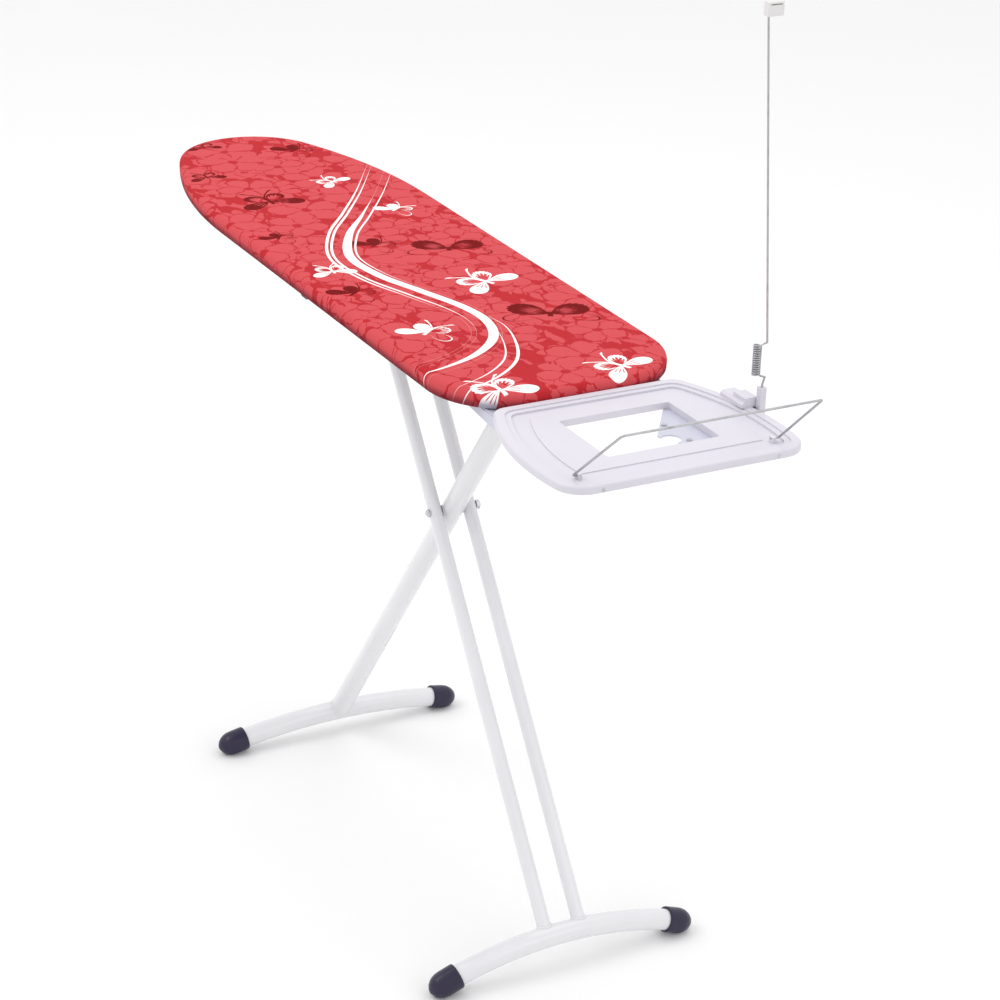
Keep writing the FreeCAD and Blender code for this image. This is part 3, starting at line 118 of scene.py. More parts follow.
def line(start, stop, away, steps=240):
    """Points on a straight run with one outward direction."""
    share = np.linspace(0, 1, steps)[:, None]
    points = np.array(start) * (1 - share) + np.array(stop) * share
    return np.hstack([points, np.tile(away, (steps, 1))])


def board_outline(count):
    """Evenly spaced points round the board's plan, from the nose's tip, each with its outward direction.

    Board coordinates: x = 0 at the wide end, so the nose lies at negative x.
    """
    nose_x = NOSE_RADIUS - BOARD_LENGTH
    drop = FLANK_RADIUS - HALF_WIDTH
    flank_x = nose_x + math.sqrt((FLANK_RADIUS - NOSE_RADIUS) ** 2 - drop ** 2)
    lean = math.atan2(drop, flank_x - nose_x)
    corner_y = HALF_WIDTH - CORNER_RADIUS
    half = np.vstack([
        arc((nose_x, 0), NOSE_RADIUS, math.pi, math.pi + lean),
        arc((flank_x, drop), FLANK_RADIUS, math.pi + lean, 1.5 * math.pi),
        line((flank_x, -HALF_WIDTH), (-CORNER_RADIUS, -HALF_WIDTH), (0, -1)),
        arc((-CORNER_RADIUS, -corner_y), CORNER_RADIUS, 1.5 * math.pi, 2 * math.pi),
        line((0, -corner_y), (0, 0), (1, 0)),
    ])
    other = half[::-1] * np.array([1, -1, 1, -1])
    ring = np.vstack([half, other])
    run = np.concatenate([[0], np.cumsum(np.linalg.norm(np.diff(ring[:, :2], axis=0), axis=1))])
    places = np.linspace(0, run[-1], count, endpoint=False)
    rows = np.stack([np.interp(places, run, ring[:, column]) for column in range(4)], axis=1)
    rows[:, 2:] /= np.linalg.norm(rows[:, 2:], axis=1)[:, None]
    return rows, run[-1]


OUTLINE, PERIMETER = board_outline(COLUMNS)


# ---------------------------------------------------------------- shader helpers

class Look:
    """A material with one Principled surface and short calls for adding nodes to it."""

    def __init__(self, name, **surface):
        self.material = bpy.data.materials.new(name)
        self.material.use_nodes = True
        self.tree = self.material.node_tree
        self.surface = self.tree.nodes["Principled BSDF"]
        for socket, value in surface.items():
            self.surface.inputs[socket.replace("_", " ")].default_value = value
        self.place = self.node("ShaderNodeTexCoord").outputs["Object"]

    def node(self, kind, **settings):
        made = self.tree.nodes.new(kind)
        for name, value in settings.items():
            setattr(made, name, value)
        return made

    def plug(self, value, socket):
        """Link an output to a socket, or set a plain value on it."""
        if isinstance(value, bpy.types.NodeSocket):
            self.tree.links.new(value, socket)
        else:
            socket.default_value = value

    def math(self, operation, first, second=None, third=None, clamp=False):
        made = self.node("ShaderNodeMath", operation=operation, use_clamp=clamp)
        for socket, value in zip(made.inputs, (first, second, third)):
            if value is not None:
                self.plug(value, socket)
        return made.outputs[0]

    def vector(self, operation, first, second=None, scale=None):
        made = self.node("ShaderNodeVectorMath", operation=operation)
        self.plug(first, made.inputs[0])
        if second is not None:
            self.plug(second, made.inputs[1])
        if scale is not None:
            self.plug(scale, made.inputs["Scale"])
        return made.outputs["Value" if operation in ("LENGTH", "DOT_PRODUCT") else "Vector"]

    def split(self, vector):
        made = self.node("ShaderNodeSeparateXYZ")
        self.plug(vector, made.inputs[0])
        return made.outputs

    def join(self, x, y, z=0.0):
        made = self.node("ShaderNodeCombineXYZ")
        for socket, value in zip(made.inputs, (x, y, z)):
            self.plug(value, socket)
        return made.outputs[0]

    def noise(self, scale, detail=2.0, rough=0.5, distortion=0.0, place=None):
        made = self.node("ShaderNodeTexNoise")
        self.plug(place or self.place, made.inputs["Vector"])
        settings = {"Scale": scale, "Detail": detail, "Roughness": rough, "Distortion": distortion}
        for socket, value in settings.items():
            made.inputs[socket].default_value = value
        return made.outputs["Fac"]

    def voronoi(self, scale, feature="F1", place=None, randomness=1.0):
        made = self.node("ShaderNodeTexVoronoi", feature=feature)
        self.plug(place or self.place, made.inputs["Vector"])
        made.inputs["Scale"].default_value = scale
        made.inputs["Randomness"].default_value = randomness
        return made.outputs

    def ramp(self, value, low, high, start=0.0, stop=1.0, smooth=True):
        """Map a value from low..high to start..stop, clamped."""
        made = self.node("ShaderNodeMapRange", interpolation_type="SMOOTHSTEP" if smooth else "LINEAR")
        for socket, number in zip(made.inputs, (value, low, high, start, stop)):
            self.plug(number, socket)
        return made.outputs[0]

    def mix(self, share, first, second, blend="MIX"):
        made = self.node("ShaderNodeMix", data_type="RGBA", blend_type=blend)
        self.plug(share, made.inputs[0])
        self.plug(first, made.inputs[6])
        self.plug(second, made.inputs[7])
        return made.outputs[2]

    def set(self, socket, value):
        self.plug(value, self.surface.inputs[socket])

    def bump(self, height, strength, distance):
        made = self.node("ShaderNodeBump")
        made.inputs["Strength"].default_value = strength
        made.inputs["Distance"].default_value = distance
        self.plug(height, made.inputs["Height"])
        self.plug(made.outputs[0], self.surface.inputs["Normal"])
        return made


def colour(red, green, blue):
    """An sRGB colour given as 0..255, in Blender's linear values."""
    linear = []
    for value in (red, green, blue):
        share = value / 255
        linear.append(share / 12.92 if share <= 0.04045 else ((share + 0.055) / 1.055) ** 2.4)
    return (*linear, 1.0)


def shade(rgba, factor):
    return (rgba[0] * factor, rgba[1] * factor, rgba[2] * factor, 1.0)


# ---------------------------------------------------------------- hard materials

def moulded(name, base, rough, grain=0.12, grain_scale=1400.0, mottle=0.06, sheen_spots=0.1):
    """Moulded plastic: fine spark-eroded grain, slight mottling and handling marks."""
    look = Look(name, IOR=1.49, Specular_IOR_Level=0.45)
    broad = look.noise(9.0, 3.0)
    fine = look.noise(grain_scale, 1.0)
    look.set("Base Color", look.mix(look.ramp(broad, 0.35, 0.65), shade(base, 1.0 - mottle), base))
    marks = look.ramp(look.noise(60.0, 4.0, 0.7), 0.55, 0.75)
    look.set("Roughness", look.math("ADD", rough, look.math("MULTIPLY", marks, sheen_spots)))
    look.bump(fine, grain, 0.00012)
    return look.material


def painted(name, base, rough, coat, orange_peel=0.10):
    """Powder coat on steel: orange peel, faint dust in the film and slightly duller patches."""
    look = Look(name, IOR=1.5, Specular_IOR_Level=0.5, Coat_Weight=coat, Coat_Roughness=0.12)
    broad = look.noise(6.0, 3.0)
    look.set("Base Color", look.mix(look.ramp(broad, 0.3, 0.7), shade(base, 0.965), base))
    look.set("Roughness", look.ramp(look.noise(40.0, 3.0, 0.6), 0.2, 0.8, rough, rough + 0.05))
    look.bump(look.noise(650.0, 2.0), orange_peel, 0.0001)
    return look.material


def zinc(name, base, rough):
    """Zinc-plated steel: faint crystals, rolling lines and duller blotches."""
    look = Look(name, Metallic=1.0)
    crystals = look.voronoi(180.0)["Color"]
    grey = look.node("ShaderNodeRGBToBW")
    look.plug(crystals, grey.inputs[0])
    look.set("Base Color", look.mix(look.ramp(grey.outputs[0], 0.2, 0.8), shade(base, 0.78), base))
    blotch = look.noise(35.0, 4.0, 0.6)
    look.set("Roughness", look.ramp(blotch, 0.3, 0.75, rough, rough + 0.2))
    look.bump(look.noise(900.0, 2.0), 0.08, 0.0001)
    return look.material


def drawn_wire(name, base, rough):
    """Bright drawn spring wire with fine die lines and faint tarnish."""
    look = Look(name, Metallic=1.0, Anisotropic=0.35)
    stretched = look.node("ShaderNodeMapping")
    look.plug(look.place, stretched.inputs["Vector"])
    stretched.inputs["Scale"].default_value = (1.0, 1.0, 0.06)
    lines = look.noise(2600.0, 2.0, place=stretched.outputs[0])
    tarnish = look.ramp(look.noise(45.0, 4.0, 0.65), 0.45, 0.8)
    look.set("Base Color", look.mix(tarnish, base, shade(base, 0.72)))
    look.set("Roughness", look.ramp(look.noise(70.0, 3.0), 0.3, 0.7, rough, rough + 0.12))
    look.bump(lines, 0.10, 0.00006)
    return look.material


def cap_rubber(name, base):
    """Tough dark plastic of the foot caps: satin, with dust in the pores and a scuffed sole."""
    look = Look(name, IOR=1.5, Specular_IOR_Level=0.5)
    height = look.split(look.place)[2]
    sole = look.ramp(height, 0.002, 0.012, 1.0, 0.0)
    dust = look.math("MULTIPLY", look.ramp(look.noise(180.0, 4.0, 0.7), 0.45, 0.75), 0.35)
    worn = look.math("MAXIMUM", dust, look.math("MULTIPLY", sole, look.noise(90.0, 3.0)))
    look.set("Base Color", look.mix(worn, base, shade(base, 2.1)))
    look.set("Roughness", look.math("ADD", 0.30, look.math("MULTIPLY", worn, 0.45)))
    pores = look.voronoi(700.0)["Distance"]
    look.bump(pores, 0.18, 0.00015)
    return look.material


# ---------------------------------------------------------------- cover print and painted edge shade

GROUND = colour(186, 42, 49)
LEAF = colour(208, 80, 85)
DARK_INK = colour(118, 3, 7)
WHITE_INK = colour(255, 252, 251)
# Painted shade: a purple-grey that multiplies the cover's colour on the lower part of its edge and on the
# hem.
PAINTED_EDGE_SHADE = (0.36, 0.34, 0.42, 1.0)

# Each butterfly: x and y on the board (x = 0 at the wide end), heading in degrees, half span, kind.
DARK_BUTTERFLIES = [
    (-1.265, -0.062, 175, 0.034, "open"), (-1.100, -0.124, 182, 0.036, "open"),
    (-1.185, 0.078, 120, 0.046, "mixed"), (-0.935, -0.078, 184, 0.062, "open"),
    (-0.755, -0.140, 140, 0.034, "mixed"), (-0.662, -0.012, 120, 0.046, "mixed"),
    (-0.470, -0.140, 125, 0.046, "mixed"), (-0.600, 0.088, 160, 0.072, "leafy"),
    (-0.270, 0.092, 158, 0.078, "leafy"),
]
WHITE_BUTTERFLIES = [
    (-0.995, 0.064, 212, 0.038, "open"), (-0.815, 0.098, 125, 0.040, "mixed"),
    (-0.575, -0.128, 178, 0.040, "open"), (-0.440, 0.070, 208, 0.062, "open"),
    (-0.275, -0.112, 130, 0.050, "mixed"), (-0.030, -0.120, 186, 0.058, "open"),
    (-0.042, 0.084, 210, 0.056, "open"),
]


def lobe(look, angle, radius, middle, half_angle, reach, power):
    """How far inside a wing a point lies: the wing fans out from the body about its middle direction."""
    turn = look.math("MULTIPLY", look.math("SUBTRACT", angle, math.radians(middle)), 90 / half_angle)
    spread = look.math("POWER", look.math("MAXIMUM", look.math("COSINE", look.math(
        "MINIMUM", look.math("ABSOLUTE", turn), math.pi / 2)), 0.0), power)
    return look.math("SUBTRACT", look.math("MULTIPLY", spread, reach), radius)


def butterfly_group(kind):
    """Node group that draws one butterfly about the origin, head towards +Y, half span 1: a mask."""
    tree = bpy.data.node_groups.new("butterfly_" + kind, "ShaderNodeTree")
    tree.interface.new_socket("Place", in_out="INPUT", socket_type="NodeSocketVector")
    tree.interface.new_socket("Mask", in_out="OUTPUT", socket_type="NodeSocketFloat")
    look = Look.__new__(Look)
    look.tree = tree
    x, y, _ = look.split(look.node("NodeGroupInput").outputs[0])
    across = look.math("ABSOLUTE", x)
    radius = look.vector("LENGTH", look.join(x, y))
    angle = look.math("ARCTAN2", across, y)
    fringe = look.math("MULTIPLY", look.math("SINE", look.math("MULTIPLY", angle, 46.0)), 0.016)
    outer = look.math("ADD", radius, fringe)
    if kind == "leafy":
        upper = lobe(look, angle, outer, 60, 40, 0.90, 0.40)
        lower = lobe(look, angle, radius, 106, 24, 1.0, 0.45)
    else:
        upper = lobe(look, angle, outer, 46, 40, 0.74, 0.40)
        lower = lobe(look, angle, radius, 112, 27, 0.98, 0.36)
    rims = {"open": (0.15, 0.09), "mixed": (0.05, 0.045), "leafy": (0.05, 0.035)}[kind]
    full = [look.ramp(wing, 0.0, 0.02) for wing in (upper, lower)]
    drawn = [look.math("MULTIPLY", solid, look.ramp(wing, width, width + 0.03, 1.0, 0.0))
             for solid, wing, width in ((full[0], upper, rims[0]), (full[1], lower, rims[1]))]
    rays = look.ramp(look.math("SINE", look.math("MULTIPLY", angle, 30.0)), 0.35, 0.75)
    veins = look.math("MULTIPLY", look.math("MULTIPLY", rays, full[0]),
                      look.ramp(upper, 0.24, 0.34, 1.0, 0.0))
    veined = look.math("MAXIMUM", drawn[0], veins)
    comb = look.ramp(look.math("SINE", look.math("MULTIPLY", angle, 26.0)), 0.45, 0.8)
    middle_of_wing = look.math("MULTIPLY", look.ramp(radius, 0.20, 0.26),
                               look.ramp(radius, 0.46, 0.56, 1.0, 0.0))
    slits = look.math("MULTIPLY", comb, middle_of_wing)
    if kind == "open":
        filled = look.math("MULTIPLY", full[1], look.math("SUBTRACT", 1.0, slits))
        wings = look.math("MAXIMUM", veined, filled)
    elif kind == "mixed":
        left = look.ramp(x, -0.02, 0.02, 1.0, 0.0)
        solid = look.math("MULTIPLY", look.math("MAXIMUM", full[0], full[1]), left)
        wings = look.math("MAXIMUM", solid, look.math("MAXIMUM", veined, drawn[1]))
    else:
        depth = look.math("SUBTRACT", upper, look.math("MULTIPLY", rays, 0.10))
        dark = look.math("MAXIMUM", look.ramp(depth, 0.22, 0.46, 1.0, 0.35),
                         look.ramp(radius, 0.15, 0.45, 1.0, 0.0))
        shaded = look.math("MULTIPLY", full[0], dark)
        wings = look.math("MAXIMUM", shaded, drawn[1])
    half_body = 0.10 if kind == "leafy" else 0.24
    body = look.math("MULTIPLY", look.ramp(across, 0.045, 0.065, 1.0, 0.0),
                     look.ramp(look.math("ABSOLUTE", y), half_body, half_body + 0.06, 1.0, 0.0))
    bend = look.math("POWER", look.math("MAXIMUM", look.math("SUBTRACT", y, 0.24), 0.0), 1.7)
    off_feeler = look.math("ABSOLUTE", look.math("SUBTRACT", across, look.math("MULTIPLY", bend, 0.95)))
    knob = look.ramp(y, 0.78, 0.84, 0.030, 0.055)
    feeler = look.math("MULTIPLY", look.ramp(look.math("SUBTRACT", knob, off_feeler), -0.006, 0.006),
                       look.math("MULTIPLY", look.ramp(y, 0.24, 0.26), look.ramp(y, 0.88, 0.90, 1.0, 0.0)))
    mark = look.math("MAXIMUM", wings, body)
    if kind != "leafy":
        mark = look.math("MAXIMUM", mark, feeler)
    look.plug(mark, look.node("NodeGroupOutput").inputs[0])
    return tree


def butterflies(look, place, rows, groups):
    """The union of several butterflies' masks. Each kind is drawn once, about the nearest of its rows."""
    nowhere = (9.0, 9.0, 0.0)
    total = None
    for kind in groups:
        local = None
        for x, y, heading, half_span, row_kind in rows:
            if row_kind != kind:
                continue
            mapping = look.node("ShaderNodeMapping", vector_type="TEXTURE")
            look.plug(place, mapping.inputs["Vector"])
            mapping.inputs["Location"].default_value = (x, y, 0)
            mapping.inputs["Rotation"].default_value = (0, 0, math.radians(heading - 90))
            mapping.inputs["Scale"].default_value = (half_span, half_span, 1)
            near = look.math("LESS_THAN", look.vector("LENGTH", mapping.outputs[0]), 1.3)
            step = look.vector("SCALE", look.vector("SUBTRACT", mapping.outputs[0], nowhere), scale=near)
            local = look.vector("ADD", nowhere if local is None else local, step)
        if local is not None:
            drawn = look.node("ShaderNodeGroup", node_tree=groups[kind])
            look.plug(local, drawn.inputs[0])
            total = drawn.outputs[0] if total is None else look.math("MAXIMUM", total, drawn.outputs[0])
    return total


def flowers(look, place, scale, petals, reach, dent):
    """Scattered flower silhouettes: one flower per cell, with round petals round its middle."""
    cells = look.voronoi(scale, place=place, randomness=0.85)
    away = look.vector("SUBTRACT", place, cells["Position"])
    x, y, _ = look.split(away)
    tint = look.split(cells["Color"])
    angle = look.math("ADD", look.math("ARCTAN2", y, x), look.math("MULTIPLY", tint[0], 6.3))
    wave = look.math("ABSOLUTE", look.math("SINE", look.math("MULTIPLY", angle, petals / 2)))
    size = look.math("MULTIPLY_ADD", tint[1], 0.4 * reach, 0.75 * reach)
    swell = look.math("MULTIPLY_ADD", look.math("POWER", wave, 0.6), 1 - dent, dent)
    rim = look.math("MULTIPLY", size, swell)
    radius = look.vector("LENGTH", look.join(x, y))
    depth = look.math("SUBTRACT", rim, radius)
    slit = look.ramp(wave, 0.10, 0.20)
    heart = look.ramp(radius, 0.12 * reach, 0.17 * reach)
    drawn = look.math("MULTIPLY", look.ramp(depth, -0.0004, 0.0004), look.math("MULTIPLY", slit, heart))
    return drawn, look.ramp(depth, -0.0034, -0.0026)


def leaves(look, place, scale, turn, stretch):
    """Long pointed leaves in loose rows that lean one way."""
    mapping = look.node("ShaderNodeMapping")
    look.plug(place, mapping.inputs["Vector"])
    mapping.inputs["Rotation"].default_value = (0, 0, math.radians(turn))
    mapping.inputs["Scale"].default_value = (1.0, stretch, 1.0)
    warp = look.noise(14.0, 2.0, place=place)
    shifted = look.vector("ADD", mapping.outputs[0], look.join(look.math("MULTIPLY", warp, 0.06), look.math(
        "MULTIPLY", warp, 0.05)))
    rims = look.voronoi(scale, feature="DISTANCE_TO_EDGE", place=shifted, randomness=0.9)["Distance"]
    tint = look.split(look.voronoi(scale, place=shifted, randomness=0.9)["Color"])[0]
    patch = look.ramp(tint, 0.60, 0.62)
    return look.math("MULTIPLY", look.ramp(rims, 0.10, 0.12), patch), patch


def weave(look, place, pitch):
    """Plain weave: warp and weft threads that pass over and under each other."""
    x, y, _ = look.split(place)
    turn = math.pi / pitch
    warp = look.math("ABSOLUTE", look.math("SINE", look.math("MULTIPLY", x, turn)))
    weft = look.math("ABSOLUTE", look.math("SINE", look.math("MULTIPLY", y, turn)))
    over = look.math("MULTIPLY", look.math("SINE", look.math("MULTIPLY", x, turn)),
                     look.math("SINE", look.math("MULTIPLY", y, turn)))
    chosen = look.ramp(over, -0.1, 0.1)
    return look.math("ADD", look.math("MULTIPLY", warp, chosen),
                     look.math("MULTIPLY", weft, look.math("SUBTRACT", 1.0, chosen)))


def band(look, name, offset, half_width, fade_in, fade_out, feather=0.00035):
    """A stroke that follows one of the sweeps stored on the cloth, at an offset from its line."""
    distance = look.node("ShaderNodeAttribute", attribute_name=name + "_distance").outputs["Fac"]
    along = look.node("ShaderNodeAttribute", attribute_name=name + "_along").outputs["Fac"]
    grow = look.ramp(along, fade_in[0], fade_in[1], 0.0, 1.0)
    shrink = look.ramp(along, fade_out[0], fade_out[1], 1.0, 0.0)
    wide = look.math("MULTIPLY", look.math("MULTIPLY", grow, shrink), half_width)
    gap = look.math("ABSOLUTE", look.math("SUBTRACT", distance, offset))
    present = look.math("MULTIPLY", look.ramp(along, 0.001, 0.004),
                        look.ramp(along, 0.996, 0.999, 1.0, 0.0))
    inside = look.ramp(look.math("SUBTRACT", wide, gap), -feather, feather)
    return look.math("MULTIPLY", inside, present)


def cover_fabric():
    """Printed cotton: tonal flowers, butterflies and white sweeps on a red ground, with painted shade that
    darkens the edge towards the underside.
    """
    look = Look("cover_cotton", Sheen_Weight=0.01, Sheen_Roughness=0.4, Specular_IOR_Level=0.07)
    place = look.node("ShaderNodeAttribute", attribute_name="cloth_place").outputs["Vector"]
    wobble = look.noise(55.0, 3.0, place=place)
    drift = look.vector("SCALE", look.join(wobble, look.noise(60.0, 3.0, place=look.vector(
        "ADD", place, (3.1, 1.7, 0.0)))), scale=0.016)
    warped = look.vector("ADD", place, drift)
    tone = 0.0
    for drawn, patch in (leaves(look, warped, 24.0, -38, 2.4), leaves(look, warped, 19.0, 12, 2.3),
                         flowers(look, look.vector("ADD", warped, (0.31, 0.17, 0.0)), 11.0, 6.0, 0.042, 0.40),
                         flowers(look, warped, 8.5, 5.0, 0.058, 0.50)):
        tone = look.math("ADD", drawn, look.math("MULTIPLY", tone, look.math("SUBTRACT", 1.0, patch)))
    base = look.mix(tone, GROUND, LEAF)
    groups = {kind: butterfly_group(kind) for kind in ("open", "mixed", "leafy")}
    base = look.mix(butterflies(look, place, DARK_BUTTERFLIES, groups), base, DARK_INK)
    white = butterflies(look, place, WHITE_BUTTERFLIES, groups)
    for stroke in SWEEP_STROKES:
        white = look.math("MAXIMUM", white, band(look, *stroke))
    base = look.mix(white, base, WHITE_INK)
    slub = look.noise(240.0, 2.0, place=look.vector("MULTIPLY", place, (0.12, 1.0, 1.0)))
    base = look.mix(0.10, base, look.mix(slub, (0.25, 0.25, 0.25, 1.0), (1.0, 1.0, 1.0, 1.0)), "MULTIPLY")
    height = look.split(look.place)[2]
    # Painted shade: the cover turns darker towards its underside, over the lower part of the edge and the
    # hem.
    edge = look.ramp(height, UNDERSIDE + 0.20 * EDGE_DEPTH, UNDERSIDE + 0.72 * EDGE_DEPTH)
    base = look.mix(1.0, base, look.mix(edge, PAINTED_EDGE_SHADE, (1.0, 1.0, 1.0, 1.0)), "MULTIPLY")
    look.set("Base Color", base)
    look.set("Roughness", look.ramp(slub, 0.2, 0.8, 0.72, 0.86))
    threads = weave(look, place, 0.0009)
    soft = look.math("MULTIPLY", look.noise(26.0, 2.0, place=place), 3.0)
    look.bump(look.math("ADD", threads, soft), 0.35, 0.00022)
    return look.material


# The white sweeps, as points given on the board: a thick S and a thin loop at the wide end.
SWEEPS = {
    "main_sweep": [(-1.060, 0.200), (-0.920, 0.112), (-0.810, 0.034), (-0.724, -0.030), (-0.625, -0.074),
                   (-0.530, -0.070), (-0.440, -0.042), (-0.350, -0.014), (-0.280, -0.010), (-0.215, -0.034),
                   (-0.165, -0.088), (-0.135, -0.160), (-0.128, -0.225)],
    "loop_sweep": [(-0.330, -0.008), (-0.260, 0.006), (-0.185, -0.012), (-0.120, -0.046), (-0.074, -0.100),
                   (-0.048, -0.160), (-0.034, -0.230)],
}
# Sweep, offset from its line, half width, where it swells and where it thins (shares of its length).
SWEEP_STROKES = [
    ("main_sweep", 0.0, 0.0075, (0.16, 0.42), (0.80, 1.02)),
    ("main_sweep", 0.013, 0.0016, (0.0, 0.3), (0.40, 0.62)),
    ("main_sweep", -0.025, 0.0021, (0.0, 0.3), (0.55, 0.80)),
    ("main_sweep", -0.033, 0.0024, (0.0, 0.3), (0.45, 0.70)),
    ("loop_sweep", 0.0, 0.0024, (0.0, 0.5), (0.55, 1.05)),
    ("loop_sweep", -0.018, 0.0016, (0.1, 0.6), (0.50, 0.95)),
]


def smooth_line(points, steps=40):
    """A Catmull-Rom line through the points."""
    rows = np.array([points[0], *points, points[-1]], float)
    made = []
    for a, b, c, d in zip(rows, rows[1:], rows[2:], rows[3:]):
        for t in np.linspace(0, 1, steps, endpoint=False):
            made.append(0.5 * (2 * b + (c - a) * t + (2 * a - 5 * b + 4 * c - d) * t ** 2
                               + (3 * b - a - 3 * c + d) * t ** 3))
    return np.array([*made, rows[-1]])


def sweep_fields(points, cloth):
    """Each cloth point's signed distance to a sweep's line, and its share of the way along it."""
    path = smooth_line(points)
    starts, runs = path[:-1], np.diff(path, axis=0)
    lengths = np.linalg.norm(runs, axis=1)
    keep = lengths > 1e-9
    starts, runs, lengths = starts[keep], runs[keep], lengths[keep]
    reached = np.concatenate([[0], np.cumsum(lengths)[:-1]])
    distance = np.full(len(cloth), 1e9)
    along = np.zeros(len(cloth))
    for start, run, length, before in zip(starts, runs, lengths, reached):
        away = cloth - start
        share = np.clip(away @ run / length ** 2, 0, 1)
        rest = away - share[:, None] * run
        near = np.linalg.norm(rest, axis=1)
        side = np.sign(run[0] * away[:, 1] - run[1] * away[:, 0])
        closer = near < np.abs(distance)
        distance[closer] = (near * side)[closer]
        along[closer] = (before + share * length)[closer] / lengths.sum()
    return distance, along


# ---------------------------------------------------------------- soft pieces

def mesh_object(name, points, faces, smooth=True):
    mesh = bpy.data.meshes.new(name)
    mesh.from_pydata([tuple(p) for p in points], [], [tuple(f) for f in faces])
    mesh.validate()
    if smooth:
        mesh.polygons.foreach_set("use_smooth", [True] * len(mesh.polygons))
    made = bpy.data.objects.new(name, mesh)
    bpy.context.scene.collection.objects.link(made)
    return made


def ring_faces(rings, columns):
    """Quads between neighbouring closed rings of points."""
    faces = []
    for ring in range(rings - 1):
        for column in range(columns):
            after = (column + 1) % columns
            low, high = ring * columns, (ring + 1) * columns
            faces.append((low + column, low + after, high + after, high + column))
    return faces


def cover_profile():
    """The cover's section from the hem's inner edge, round the board's edge, to the flat top.

    Rows of inset from the outline, height, and distance along the cloth outward from the top's edge.
    """
    rows = []
    under = UNDERSIDE + 0.0012
    for inset in np.linspace(HEM_WIDTH, 0.010, HEM_RINGS):
        rows.append((inset, under))
    for angle in np.radians(np.linspace(-70, 0, 4)):
        rows.append((LOW_ROUND * (1 - math.cos(angle)), under + LOW_ROUND * (1 + math.sin(angle))))
    rows.append((-0.0004, under + 0.5 * EDGE_DEPTH))
    for angle in np.radians(np.linspace(0, 80, 6)):
        rows.append((TOP_ROUND * (1 - math.cos(angle)), TOP - 0.0006 - TOP_ROUND * (1 - math.sin(angle))))
    rows.append((0.013, TOP - 0.0005))
    rows.append((0.020, TOP - 0.0003))
    rows = np.array(rows)
    runs = np.linalg.norm(np.diff(rows, axis=0), axis=1)
    outward = np.concatenate([np.cumsum(runs[::-1])[::-1], [0]])
    return rows, outward


def on_board(points):
    """Board coordinates, with x = 0 at the wide end, as places in the frame."""
    return np.vstack(points) + np.array([WIDE_END, 0, 0])


def spine_under(ring):
    """For each point of a ring, the nearest point of the board's middle line."""
    return np.column_stack([np.clip(ring[:, 0], NOSE_RADIUS - BOARD_LENGTH, SPINE_END), np.zeros(COLUMNS)])


def close_doubles(mesh, distance):
    """Join points that lie on each other and turn the faces outward."""
    work = bmesh.new()
    work.from_mesh(mesh)
    bmesh.ops.remove_doubles(work, verts=work.verts, dist=distance)
    bmesh.ops.recalc_face_normals(work, faces=work.faces)
    work.to_mesh(mesh)
    work.free()


def cover_rings(rows, outward):
    """Rings of points from the hem to the middle of the top, and where each lies on the flat cloth."""
    base, away = OUTLINE[:, :2], OUTLINE[:, 2:]
    inner = rows[-1][0]
    points, cloth = [], []
    for (inset, height), out in zip(rows, outward):
        points.append(np.column_stack([base - away * inset, np.full(COLUMNS, height)]))
        cloth.append(base - away * (inner - out))
    rim = base - away * inner
    spine = spine_under(rim)
    for step in range(1, TOP_RINGS + 1):
        share = step / TOP_RINGS
        ring = rim * (1 - share) + spine * share
        crown = 0.0003 * (1 - min(1.0, 4 * share)) ** 2
        points.append(np.column_stack([ring, np.full(COLUMNS, TOP - crown)]))
        cloth.append(ring)
    return points, np.vstack(cloth)


def store_print_fields(mesh, cloth):
    """Keep each point's place on the cloth and its distance to the sweeps, for the printed material."""
    place = mesh.attributes.new("cloth_place", "FLOAT_VECTOR", "POINT")
    flat = np.column_stack([cloth, np.zeros(len(cloth))])
    place.data.foreach_set("vector", flat.astype(np.float32).ravel())
    for name, line_points in SWEEPS.items():
        distance, along = sweep_fields(line_points, cloth)
        for suffix, values in (("_distance", distance), ("_along", along)):
            field = mesh.attributes.new(name + suffix, "FLOAT", "POINT")
            field.data.foreach_set("value", values.astype(np.float32))


def make_cover():
    """Fabric cover in one sheet: top, edge and gathered hem."""
    rows, outward = cover_profile()
    points, cloth = cover_rings(rows, outward)
    cover = mesh_object("fabric_cover", on_board(points), ring_faces(len(points), COLUMNS))
    store_print_fields(cover.data, cloth)
    gather_hem(cover)
    close_doubles(cover.data, 0.0004)
    cover.data.materials.append(cover_fabric())
    thickness = cover.modifiers.new("cloth thickness", "SOLIDIFY")
    thickness.thickness = CLOTH_THICKNESS
    thickness.offset = -1.0
    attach(cover, "board")
    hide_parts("cover")
    return cover


def gather_hem(cover):
    """Puckers of the hem where the elastic draws it in, deepest on the round ends."""
    mesh = cover.data
    flatness = np.abs(OUTLINE[:, 3])
    curved = np.clip((1 - flatness) * 3, 0.25, 1.0)
    clear_of_rest = np.clip((REST_START - OUTLINE[:, 0]) / REST_FADE, 0, 1)
    run = np.arange(COLUMNS) / COLUMNS * PERIMETER
    turn = run * 2 * math.pi
    wave = 0.6 * np.sin(turn / PUCKER_LONG) + 0.4 * np.sin(turn / PUCKER_SHORT + 1.3)
    co = np.zeros(len(mesh.vertices) * 3)
    mesh.vertices.foreach_get("co", co)
    co = co.reshape(-1, 3)
    for ring in range(HEM_RINGS):
        depth = PUCKER_DEPTH * (1 - ring / HEM_RINGS) ** 1.5
        rows = slice(ring * COLUMNS, (ring + 1) * COLUMNS)
        co[rows, 2] -= depth * curved * clear_of_rest * (0.5 + 0.5 * wave)
    mesh.vertices.foreach_set("co", co.ravel())


